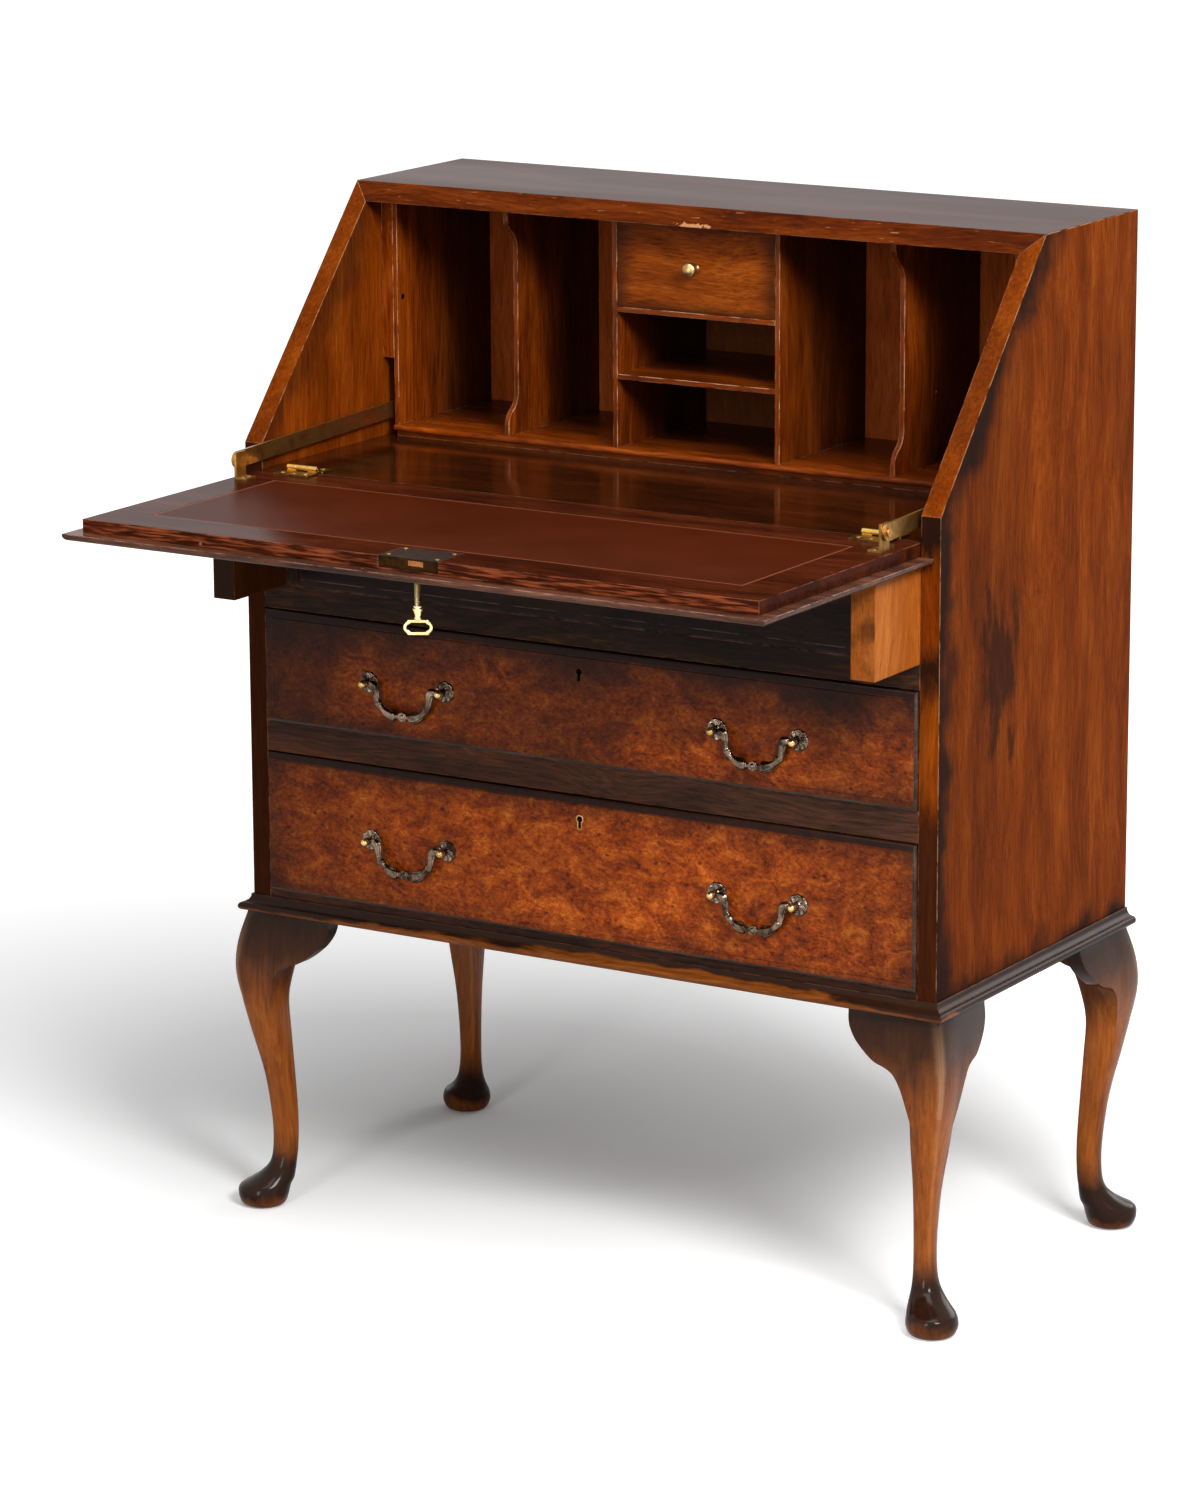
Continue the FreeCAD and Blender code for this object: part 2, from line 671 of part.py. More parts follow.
# The fall board with its leather recess, its lock mortise and its key hole
leather_side_margin = size("leather_side_margin", 43)
leather_end_margin = size("leather_end_margin", 47)
leather_thickness = size("leather_thickness", 1.2)
lock_half_width = size("lock_half_width", 32)
lock_length = size("lock_length", 42)
lock_thickness = size("lock_thickness", 11)
key_x = size("key_x", 4)
key_setback = size("key_setback", 9)
key_radius = size("key_radius", 3)
key_hole_radius = size("key_hole_radius", 4.5)
key_y = fall_front + key_setback
lock_bottom = writing_top - lock_thickness
fall_span = (fall_front, hinge_y)
fall_top_layer = middle_box("fall_top_layer", fall_half, fall_span, (fall_lip_top, writing_top))
core_half = fall_half - fall_lip_seat
core_span = (fall_front + fall_lip_seat, hinge_y)
fall_core = middle_box("fall_core", core_half, core_span, (fall_underside, fall_lip_top))
fall_blank = joined("fall_blank", [fall_top_layer, fall_core])
leather_half = fall_half - leather_side_margin
leather_span = (fall_front + leather_end_margin, hinge_y - leather_end_margin)
leather_heights = (writing_top - leather_thickness, writing_top)
leather_recess = middle_box("leather_recess", leather_half, leather_span, leather_heights)
lock_span = (fall_front, fall_front + lock_length)
lock_mortise = middle_box("lock_mortise", lock_half_width, lock_span, (lock_bottom, writing_top))
fall_thickness = writing_top - fall_underside
key_hole = rod("key_hole", key_hole_radius, fall_thickness, "up", key_x, key_y, fall_underside)
label_node(cut("fall_board", fall_blank, [leather_recess, lock_mortise, key_hole]), "fall_board")
leather = middle_box("fall_leather", leather_half, leather_span, leather_heights)
label_node(leather, "fall_leather")

# The fall's lip: flat where it bears on the carcass, rounded on its outer edge
lip_start_gap = size("lip_start_gap", 0.5)
lip_round_share = 0.8
lip_round = fall_lip_thickness.number * lip_round_share
lip_low = fall_underside.number
lip_tip = fall_lip_reach.number
lip_turn = lip_round * (1 - math.sqrt(0.5))
round_low = Vector(lip_tip - lip_round, lip_low, 0)
round_mid = Vector(lip_tip - lip_turn, lip_low + lip_turn, 0)
round_high = Vector(lip_tip, lip_low + lip_round, 0)
lip_back = -fall_lip_seat.number
lip_corners = [
    round_high,
    Vector(lip_tip, fall_lip_top.number, 0),
    Vector(lip_back, fall_lip_top.number, 0),
    Vector(lip_back, lip_low, 0),
    round_low,
]
lip_profile = edge_line(lip_corners) + [Part.Arc(round_low, round_mid, round_high).toShape()]
lip_front, lip_side = run_round(
    "fall_lip", lip_profile, fall_half, fall_front, -lip_start_gap,
    fall_lip_seat, fall_lip_reach, fall_underside, fall_lip_top,
)
lip_key_hole = rod(
    "lip_key_hole", key_hole_radius, fall_lip_thickness, "up",
    key_x, key_y, fall_underside,
)
lip_front_bored = cut("fall_lip_front_bored", lip_front, [lip_key_hole])
group("fall_lip_mouldings", [lip_front_bored, lip_side, mirrored("fall_lip_side_left", lip_side)])

# The fall lock, its bolt and the key that throws it
key_depth = size("key_depth", 3)
lock_blank = middle_box("lock_blank", lock_half_width, lock_span, (lock_bottom, writing_top))
channel = box(
    "bolt_channel",
    (bolt_left - bolt_gap, bolt_right + bolt_gap),
    (fall_front, fall_front + bolt_length + bolt_gap),
    (bolt_bottom - bolt_gap, bolt_top + bolt_gap),
)
key_pipe = rod(
    "key_pipe", key_radius + pivot_gap, key_depth + running_gap, "up",
    key_x, key_y, lock_bottom,
)
label_node(cut("fall_lock", lock_blank, [channel, key_pipe]), "fall_lock")
bolt_span = (fall_front, fall_front + bolt_length)
bolt = box("fall_lock_bolt", (bolt_left, bolt_right), bolt_span, (bolt_bottom, bolt_top))
label_node(bolt, "fall_lock_bolt")
key_hang = size("key_hang", 24)
key_collar_radius = size("key_collar_radius", 4.6)
key_collar_height = size("key_collar_height", 4)
key_neck_radius = size("key_neck_radius", 2.6)
key_neck_height = size("key_neck_height", 9)
bow_width = size("bow_width", 30)
bow_height = size("bow_height", 17)
bow_thickness = size("bow_thickness", 3.4)
bow_bar = size("bow_bar", 3.5)
key_facing = 30
shank_bottom = fall_underside - key_hang
collar_bottom = shank_bottom - key_collar_height
neck_bottom = collar_bottom - key_neck_height
shank_length = lock_bottom + key_depth - shank_bottom
shank = rod("key_shank", key_radius, shank_length, "up", key_x, key_y, shank_bottom)
collar = rod("key_collar", key_collar_radius, key_collar_height, "up", key_x, key_y, collar_bottom)
neck = rod("key_neck", key_neck_radius, key_neck_height, "up", key_x, key_y, neck_bottom)


def oval(width, height):
    """A flat oval with round ends, lying in X and Z about its own middle."""
    radius = height / 2
    reach = width / 2 - radius
    corners = [Vector(x * reach, 0, z * radius) for x, z in ((1, 1), (-1, 1), (-1, -1), (1, -1))]
    left_end = Part.Arc(corners[1], Vector(-width / 2, 0, 0), corners[2]).toShape()
    right_end = Part.Arc(corners[3], Vector(width / 2, 0, 0), corners[0]).toShape()
    edges = edge_line(corners[:2]) + [left_end] + edge_line(corners[2:]) + [right_end]
    return Part.Face(Part.Wire(edges))


bow_outer = oval(bow_width.number, bow_height.number)
bow_inner = oval((bow_width - bow_bar * 2).number, (bow_height - bow_bar * 2).number)
bow_ring = bow_outer.cut(bow_inner)
bow_ring.translate(Vector(0, -bow_thickness.number / 2, 0))
bow_shape = bow_ring.extrude(Vector(0, bow_thickness.number, 0))
bow_shape.rotate(Vector(), Vector(0, 0, 1), key_facing)
bow_middle = neck_bottom.number - bow_height.number / 2 + bow_bar.number / 2
bow_shape.translate(Vector(key_x.number, key_y.number, bow_middle))
label_node(joined("fall_key", [shank, collar, neck, shaped("key_bow", bow_shape)]), "fall_key")

# Hinges: the board leaf carries the middle knuckle and the pin, the fall leaf the outer knuckles
hinge_inset = size("hinge_inset", 44)
hinge_x = fall_half - hinge_inset
leaf_half_width = size("leaf_half_width", 20)
leaf_length = size("leaf_length", 22)
leaf_thickness = size("leaf_thickness", 1.5)
knuckle_radius = size("knuckle_radius", 3.2)
knuckle_half = size("knuckle_half", 17)
middle_knuckle_half = size("middle_knuckle_half", 6)
pin_radius = size("pin_radius", 1.5)
leaf_gap = size("leaf_gap", 0.8)
leaf_edge = knuckle_radius + leaf_gap
leaf_heights = (writing_top, writing_top + leaf_thickness)
leaf_x = (hinge_x - leaf_half_width, hinge_x + leaf_half_width)
middle_left = hinge_x - middle_knuckle_half
middle_right = hinge_x + middle_knuckle_half
board_plate = box("board_plate", leaf_x, (hinge_y + leaf_edge, hinge_y + leaf_length), leaf_heights)
board_tab = box("board_tab", (middle_left, middle_right), (hinge_y, hinge_y + leaf_length), leaf_heights)
board_knuckle = rod(
    "board_knuckle", knuckle_radius, middle_knuckle_half * 2, "right",
    middle_left, hinge_y, hinge_z,
)
pin_left = hinge_x - knuckle_half
hinge_pin = rod("hinge_pin", pin_radius, knuckle_half * 2, "right", pin_left, hinge_y, hinge_z)
board_leaf = joined("board_leaf", [board_plate, board_tab, board_knuckle, hinge_pin])
pair("hinge_board_leaves", board_leaf)
fall_leaf_pieces = [box("fall_plate", leaf_x, (hinge_y - leaf_length, hinge_y - leaf_edge), leaf_heights)]
fall_knuckle_length = knuckle_half - middle_knuckle_half - running_gap
fall_leaf_span = (hinge_y - leaf_length, hinge_y)
for name, left in (("inner", pin_left), ("outer", middle_right + running_gap)):
    right = left + fall_knuckle_length
    fall_knuckle = rod(
        f"{name}_knuckle", knuckle_radius, fall_knuckle_length, "right",
        left, hinge_y, hinge_z,
    )
    fall_tab = box(f"{name}_tab", (left, right), fall_leaf_span, leaf_heights)
    fall_leaf_pieces += [fall_knuckle, fall_tab]
pin_bore = rod(
    "pin_bore", pin_radius + pivot_gap, knuckle_half * 2, "right",
    pin_left, hinge_y, hinge_z,
)
fall_leaf = cut("fall_leaf", joined("fall_leaf_blank", fall_leaf_pieces), [pin_bore])
pair("hinge_fall_leaves", fall_leaf)

# Stay bars and lugs: a flat brass bar on each side, pinned to a lug and running back into its slot
stay_thickness = size("stay_thickness", 3)
stay_centre_gap = size("stay_centre_gap", 7)
lug_foot_width = size("lug_foot_width", 14)
lug_length = size("lug_length", 16)
lug_thickness = size("lug_thickness", 2.4)
lug_foot_thickness = size("lug_foot_thickness", 2)
stay_pin_radius = size("stay_pin_radius", 2.5)
stay_head_radius = size("stay_head_radius", 4)
stay_head_height = size("stay_head_height", 1.5)
pivot_y = hinge_y - stay_pivot_reach
pivot_z = writing_top + stay_pivot_rise
stay_outer = inner_half - stay_centre_gap + stay_thickness / 2
stay_inner = stay_outer - stay_thickness
lug_outer = stay_inner - running_gap
lug_span = (pivot_y - lug_length / 2, pivot_y + lug_length / 2)
lug_foot_x = (lug_outer - lug_foot_width, lug_outer)
lug_foot = box("lug_foot", lug_foot_x, lug_span, (writing_top, writing_top + lug_foot_thickness))
lug_top = pivot_z + stay_height / 2
lug_leaf = box("lug_leaf", (lug_outer - lug_thickness, lug_outer), lug_span, (writing_top, lug_top))
stay_pin_length = stay_outer + running_gap + stay_head_height - (lug_outer - lug_thickness)
lug_inner = lug_outer - lug_thickness
head_left = stay_outer + running_gap
stay_pin = rod("stay_pin", stay_pin_radius, stay_pin_length, "right", lug_inner, pivot_y, pivot_z)
stay_head = rod("stay_head", stay_head_radius, stay_head_height, "right", head_left, pivot_y, pivot_z)
pair("stay_lugs", joined("stay_lug", [lug_foot, lug_leaf, stay_pin, stay_head]))
stay_angle = math.degrees(math.asin(stay_rise.number / stay_length.number))
stay_tilt = FreeCAD.Rotation(Vector(1, 0, 0), stay_angle)
pivot_place = Vector(0, front_y.number + pivot_y.number, pivot_z.number)
stay_flat = Part.makeBox(stay_thickness.number, stay_length.number, stay_height.number)
stay_flat.translate(Vector(stay_inner.number, 0, -stay_height.number / 2))
across = Vector(1, 0, 0)
pivot_point = Vector(stay_inner.number, 0, 0)
stay_nose = Part.makeCylinder(stay_height.number / 2, stay_thickness.number, pivot_point, across)
bore_radius = stay_pin_radius + pivot_gap
stay_bore = Part.makeCylinder(bore_radius.number, stay_thickness.number, pivot_point, across)
stay_bar = doc.addObject("Part::Feature", "stay_bar_right")
stay_bar.Shape = stay_flat.fuse(stay_nose).cut(stay_bore).removeSplitter()
stay_bar.Placement = FreeCAD.Placement(pivot_place, stay_tilt)
label_node(stay_bar, "stay_bar_right")
label_node(mirrored("stay_bar_left", stay_bar), "stay_bar_left")

# Lopers: the two sliding bearers under the open fall
loper_length = size("loper_length", 300)
loper_reach = size("loper_reach", 85)
loper_x = (slot_inner + running_gap, inner_half - running_gap)
loper_heights = (loper_floor + running_gap, loper_ceiling - running_gap)
loper_right = box("loper_right", loper_x, (-loper_reach, loper_length - loper_reach), loper_heights)
label_node(loper_right, "loper_right")
label_node(mirrored("loper_left", loper_right), "loper_left")

# The two long drawers
drawer_edge_round = size("drawer_edge_round", 3)
drawer_side_gap = size("drawer_side_gap", 1.5)
drawer_side_thickness = size("drawer_side_thickness", 10)
drawer_side_drop = size("drawer_side_drop", 18)
drawer_back_gap = size("drawer_back_gap", 20)
drawer_end = back_inner - drawer_back_gap
drawer_bottom_rise = size("drawer_bottom_rise", 6)
drawer_bottom_thickness = size("drawer_bottom_thickness", 5)
keyhole_drop = size("keyhole_drop", 22)
keyhole_radius = size("keyhole_radius", 3)
keyhole_slot_half = size("keyhole_slot_half", 1.5)
keyhole_slot_drop = size("keyhole_slot_drop", 9)
escutcheon_wall = size("escutcheon_wall", 1.2)
escutcheon_proud = size("escutcheon_proud", 0.8)
drawer_lock_half = size("drawer_lock_half", 28)
drawer_lock_height = size("drawer_lock_height", 46)
drawer_lock_thickness = size("drawer_lock_thickness", 12)
handle_centre_share = 0.5374
handle_centre_x = inner_half * handle_centre_share
handle_half_spread = size("handle_half_spread", 43.5)
handle_drop = size("handle_drop", 3.3)
rose_radius = size("rose_radius", 10.8)
rose_thickness = size("rose_thickness", 2.5)
post_radius = size("post_radius", 4)
post_length = size("post_length", 13)
post_ball_radius = size("post_ball_radius", 3.6)
bail_axis_reach = size("bail_axis_reach", 9)
peg_radius = size("peg_radius", 1.6)
peg_engagement = size("peg_engagement", 3)
bail_radius = size("bail_radius", 2.8)
bail_post_gap = size("bail_post_gap", 1)
bail_shoulder = size("bail_shoulder", 31)
bail_foot = size("bail_foot", 29.5)
bail_drop = size("bail_drop", 32)
bail_shoulder_round = size("bail_shoulder_round", 4.5)
bail_foot_round = size("bail_foot_round", 12)
bail_depth = -drawer_proud - bail_axis_reach


def rounded_path(points, rounds):
    """A path of straight runs whose inner corners are turned by arcs of the given radii."""
    edges = []
    begin = points[0]
    for before, here, after, radius in zip(points, points[1:], points[2:], rounds):
        back = (before - here).normalize()
        ahead = (after - here).normalize()
        half_turn = back.getAngle(ahead) / 2
        reach = radius / math.tan(half_turn)
        bisector = (back + ahead).normalize()
        middle = here + bisector * (radius / math.sin(half_turn) - radius)
        start = here + back * reach
        stop = here + ahead * reach
        edges.append(Part.LineSegment(begin, start).toShape())
        edges.append(Part.Arc(start, middle, stop).toShape())
        begin = stop
    edges.append(Part.LineSegment(begin, points[-1]).toShape())
    return Part.Wire(edges)


def bail(label, centre_x, handle_z):
    """A drop handle: a bent bar with a thin peg at each end that turns in its post."""
    bar_end = (handle_half_spread - post_radius - bail_post_gap).number
    peg_end = (handle_half_spread - post_radius + peg_engagement).number
    drop = -bail_drop.number
    right_half = [
        Vector(bar_end, 0, 0),
        Vector(bail_shoulder.number, 0, 0),
        Vector(bail_foot.number, 0, drop),
    ]
    left_half = [Vector(-point.x, 0, point.z) for point in reversed(right_half)]
    shoulder = bail_shoulder_round.number
    foot = bail_foot_round.number
    path = rounded_path(right_half + left_half, (shoulder, foot, foot, shoulder))
    ring = Part.Wire(Part.makeCircle(bail_radius.number, right_half[0], Vector(-1, 0, 0)))
    shape = path.makePipeShell([ring], True, False)
    for way in (-1, 1):
        start = Vector(way * (bar_end - bail_radius.number), 0, 0)
        length = peg_end - bar_end + bail_radius.number
        shape = shape.fuse(Part.makeCylinder(peg_radius.number, length, start, Vector(way, 0, 0)))
    shape = shape.removeSplitter()
    shape.translate(Vector(centre_x.number, bail_depth.number, handle_z.number))
    return label_node(shaped(label, shape), label)


def handle_fittings(label, handle_z):
    """Four roses screwed to a drawer front, each with a post that takes one end of a bail."""
    pieces = []
    for number, (way, turn) in enumerate(((-1, -1), (-1, 1), (1, -1), (1, 1))):
        x = handle_centre_x * way + handle_half_spread * turn
        rose_front = -drawer_proud - rose_thickness
        rose = rod(
            f"{label}_rose_{number}", rose_radius, rose_thickness, "forward",
            x, -drawer_proud, handle_z,
        )
        stem = rod(
            f"{label}_stem_{number}", post_radius, post_length - rose_thickness, "forward",
            x, rose_front, handle_z,
        )
        tip = ball(f"{label}_tip_{number}", post_ball_radius, x, -drawer_proud - post_length, handle_z)
        bore_start = x - post_radius
        bore = rod(
            f"{label}_bore_{number}", peg_radius + pivot_gap, post_radius * 2, "right",
            bore_start, bail_depth, handle_z,
        )
        blank = joined(f"{label}_post_blank_{number}", [stem, tip])
        pieces += [rose, cut(f"{label}_post_{number}", blank, [bore])]
    return group(label, pieces)


def long_drawer(name, bottom, top):
    """One long drawer: front, box, bottom, lock with its bolt, and two drop handles."""
    front_half = inner_half - drawer_gap
    front_bottom = bottom + running_gap
    front_top = top - drawer_gap
    front_span = (-drawer_proud, drawer_front_back)
    blank = middle_box(f"{name}_front_blank", front_half, front_span, (front_bottom, front_top))
    doc.recompute()
    rounded = doc.addObject("Part::Fillet", f"{name}_front_rounded")
    rounded.Base = blank
    front_face = blank.Shape.BoundBox.YMin
    edges = []
    for number, edge in enumerate(blank.Shape.Edges, 1):
        if edge.BoundBox.YMax - front_face < running_gap.number:
            edges.append((number, drawer_edge_round.number, drawer_edge_round.number))
    rounded.Edges = edges
    keyhole_z = front_top - keyhole_drop
    hole_front = -drawer_proud
    eye_radius = keyhole_radius + escutcheon_wall
    slot_half = keyhole_slot_half + escutcheon_wall
    slot_bottom = keyhole_z - keyhole_slot_drop

    def keyhole(part, eye, half, low, start, length):
        """A round eye with a slot under it, running back from the face."""
        stop = start + length
        round_part = rod(f"{name}_{part}_eye", eye, length, "forward", 0, stop, keyhole_z)
        slot = middle_box(f"{name}_{part}_slot", half, (start, stop), (low, keyhole_z))
        return joined(f"{name}_{part}", [round_part, slot])

    opening = keyhole(
        "front_opening", eye_radius, slot_half, slot_bottom - escutcheon_wall,
        hole_front, drawer_front_thickness,
    )
    label_node(cut(f"{name}_front", rounded, [opening]), f"{name}_front")

    side_outer = inner_half - drawer_side_gap
    side_inner = side_outer - drawer_side_thickness
    side_top = front_top - drawer_side_drop
    side_heights = (front_bottom, side_top)
    box_span = (drawer_front_back, drawer_end)
    right_side = box(f"{name}_side", (side_inner, side_outer), box_span, side_heights)
    panel_bottom = front_bottom + drawer_bottom_rise
    panel_top = panel_bottom + drawer_bottom_thickness
    back_span = (drawer_end - drawer_side_thickness, drawer_end)
    back_board = middle_box(f"{name}_back", side_inner, back_span, (panel_top, side_top))
    group(f"{name}_box", [right_side, mirrored(f"{name}_side_left", right_side), back_board])
    panel = middle_box(f"{name}_bottom", side_inner, box_span, (panel_bottom, panel_top))
    label_node(panel, f"{name}_bottom")

    lock_heights = (front_top - drawer_lock_height, front_top)
    lock_back = drawer_front_back + drawer_lock_thickness
    case = middle_box(f"{name}_lock_case", drawer_lock_half, (drawer_front_back, lock_back), lock_heights)
    bolt_low = front_top - bolt_length
    well = middle_box(
        f"{name}_bolt_well",
        bolt_half_width + bolt_gap,
        (drawer_bolt_front - bolt_gap, drawer_bolt_back + bolt_gap),
        (bolt_low - bolt_gap, front_top),
    )
    ring_length = drawer_front_thickness + escutcheon_proud
    ring_start = hole_front - escutcheon_proud
    ring_foot = slot_bottom - escutcheon_wall
    ring_blank = keyhole("escutcheon_blank", eye_radius, slot_half, ring_foot, ring_start, ring_length)
    ring_hole = keyhole(
        "escutcheon_hole", keyhole_radius, keyhole_slot_half, slot_bottom, ring_start, ring_length,
    )
    escutcheon = cut(f"{name}_escutcheon", ring_blank, [ring_hole])
    group(f"{name}_lock", [cut(f"{name}_lock_body", case, [well]), escutcheon])
    bolt_span = (drawer_bolt_front, drawer_bolt_back)
    bolt_heights = (bolt_low, front_top)
    lock_bolt = middle_box(f"{name}_lock_bolt", bolt_half_width, bolt_span, bolt_heights)
    label_node(lock_bolt, f"{name}_lock_bolt")

    handle_z = (front_bottom + front_top) / 2 - handle_drop
    print(name, "handle height", handle_z.number)
    handle_fittings(f"{name}_handle_fittings", handle_z)
    for way, side_name in ((-1, "left"), (1, "right")):
        bail(f"{name}_{side_name}_bail", handle_centre_x * way, handle_z)


long_drawer("lower_drawer", lower_opening_bottom, lower_opening_top)
long_drawer("upper_drawer", upper_opening_bottom, upper_opening_top)

# The small drawer between the centre dividers
small_front_thickness = size("small_front_thickness", 10)
small_gap = size("small_gap", 0.7)
small_side_thickness = size("small_side_thickness", 6)
small_side_drop = size("small_side_drop", 14)
small_bottom_thickness = size("small_bottom_thickness", 3)
small_back_gap = size("small_back_gap", 16)
small_end = back_inner - small_back_gap
knob_neck_radius = size("knob_neck_radius", 3.6)
knob_neck_length = size("knob_neck_length", 7)
knob_radius = size("knob_radius", 7.5)
small_half = centre_low - small_gap
small_low = upper_shelf_top + running_gap
small_high = top_underside - small_gap
small_front_back = pigeonhole_front + small_front_thickness
small_front_span = (pigeonhole_front, small_front_back)
small_front = middle_box("small_drawer_front", small_half, small_front_span, (small_low, small_high))
label_node(small_front, "small_drawer_front")
small_inner = small_half - small_side_thickness
small_span = (small_front_back, small_end)
small_side_top = small_high - small_side_drop
small_side = box("small_side", (small_inner, small_half), small_span, (small_low, small_side_top))
small_panel_top = small_low + small_bottom_thickness
small_back_span = (small_end - small_side_thickness, small_end)
small_back = middle_box("small_back", small_inner, small_back_span, (small_panel_top, small_side_top))
group("small_drawer_box", [small_side, mirrored("small_side_left", small_side), small_back])
small_bottom_heights = (small_low, small_panel_top)
small_bottom = middle_box("small_drawer_bottom", small_inner, small_span, small_bottom_heights)
label_node(small_bottom, "small_drawer_bottom")
knob_z = (small_low + small_high) / 2
knob_neck = rod("knob_neck", knob_neck_radius, knob_neck_length, "forward", 0, pigeonhole_front, knob_z)
knob_end = pigeonhole_front - knob_neck_length - knob_radius / 2
knob_ball = ball("knob_ball", knob_radius, 0, knob_end, knob_z)
label_node(joined("small_drawer_knob", [knob_neck, knob_ball]), "small_drawer_knob")

doc.recompute()

for piece in doc.Objects:
    if "Invalid" in piece.State or "Error" in piece.State:
        raise RuntimeError(f"{piece.Name} did not rebuild: {piece.State}")
for piece in nodes:
    if piece.Shape.isNull() or not piece.Shape.isValid():
        raise RuntimeError(f"{piece.Label} has no valid shape")

os.makedirs("parts", exist_ok=True)
for piece in nodes:
    piece.Shape.exportStep(os.path.join("parts", f"{piece.Label}.step"))

print("hinge axis", front_y.number + hinge_y.number, hinge_z.number, "closes by", closing_angle)
print("stay pivot", front_y.number + pivot_y.number, pivot_z.number)
print("key axis", key_x.number, front_y.number + key_y.number)
print("bail axis depth", front_y.number + bail_depth.number)
print("front of the carcass", front_y.number, "nodes", len(nodes))
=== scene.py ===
from functools import partial
from math import acos, cos, exp, hypot, pi, radians, sin, sqrt

import bmesh
import bpy
import numpy
from mathutils import Matrix, Vector, geometry


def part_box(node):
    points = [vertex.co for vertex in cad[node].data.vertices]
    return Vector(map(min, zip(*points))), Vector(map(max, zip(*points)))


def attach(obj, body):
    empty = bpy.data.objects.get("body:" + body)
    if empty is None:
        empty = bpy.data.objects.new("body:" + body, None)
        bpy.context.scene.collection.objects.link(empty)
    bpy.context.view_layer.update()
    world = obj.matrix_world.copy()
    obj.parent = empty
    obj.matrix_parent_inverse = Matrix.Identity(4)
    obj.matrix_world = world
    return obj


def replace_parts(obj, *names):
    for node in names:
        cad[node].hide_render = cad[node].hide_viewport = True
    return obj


# A fall-front writing bureau in French-polished walnut, shown with its fall down on its lopers.
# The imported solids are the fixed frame; each section below finishes one piece or group of pieces.
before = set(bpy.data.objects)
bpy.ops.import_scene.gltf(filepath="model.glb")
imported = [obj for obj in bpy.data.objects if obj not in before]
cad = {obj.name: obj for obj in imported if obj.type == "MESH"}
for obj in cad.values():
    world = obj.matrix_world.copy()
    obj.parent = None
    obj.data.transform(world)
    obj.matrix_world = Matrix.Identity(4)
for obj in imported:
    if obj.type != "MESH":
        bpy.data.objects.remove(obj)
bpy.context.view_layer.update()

# Case sides: two boards of straight-grained walnut, sloped at the front and mitred to the top.
# Shellac over walnut gives long upright streaks under a soft gloss. The polish is blackened along
# the front edge, and rubbed through to orange wood in patches on the upright front.
MM = 0.001
side_low, side_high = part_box("side_right")
case_front = side_low.y
slope_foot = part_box("writing_board")[1].z + 24.9 * MM
slope_run = 200 * MM
slope_rise = side_high.z - slope_foot
slope_length = hypot(slope_run, slope_rise)
blot_spot = (0.381, 0.070, 0.610)


def linear(hex_colour):
    """An sRGB hex colour as the linear numbers that a shader takes."""
    shares = [int(hex_colour[i:i + 2], 16) / 255 for i in (1, 3, 5)]
    return [s / 12.92 if s <= 0.04045 else ((s + 0.055) / 1.055) ** 2.4 for s in shares] + [1]


def add_node(tree, kind, *values, stops=(), **named):
    """Adds a node of a kind, with its mode after a space. Values fill its inputs in order, capitalised
    names fill named inputs, and other names are settings."""
    kind, _, mode = kind.partition(" ")
    made = tree.nodes.new("ShaderNode" + kind)
    if mode:
        setattr(made, {"Mix": "data_type", "MapRange": "interpolation_type"}.get(kind, "operation"), mode)
    inputs = list(enumerate(values))
    for name, value in named.items():
        if name[0].isupper():
            inputs.append((name.replace("_", " "), value))
        else:
            setattr(made, name, value)
    for name, value in inputs:
        if isinstance(value, bpy.types.Node):
            # a node stands for the first of its outputs that is in use
            value = next(output for output in value.outputs if output.enabled)
        if isinstance(value, bpy.types.NodeSocket):
            tree.links.new(value, made.inputs[name])
        else:
            made.inputs[name].default_value = linear(value) if isinstance(value, str) else value
    if stops:
        ramp = made.color_ramp
        while len(ramp.elements) < len(stops):
            ramp.elements.new(1)
        for element, (place, colour) in zip(ramp.elements, stops):
            element.position = place
            element.color = linear(colour) if isinstance(colour, str) else (colour, colour, colour, 1)
    return made


def new_material(name):
    """An empty node material, what adds a node to it, and the place on the piece that patterns follow."""
    material = bpy.data.materials.new(name)
    material.use_nodes = True
    material.node_tree.nodes.clear()
    add = partial(add_node, material.node_tree)
    return material, add, add("TexCoord").outputs["Object"]


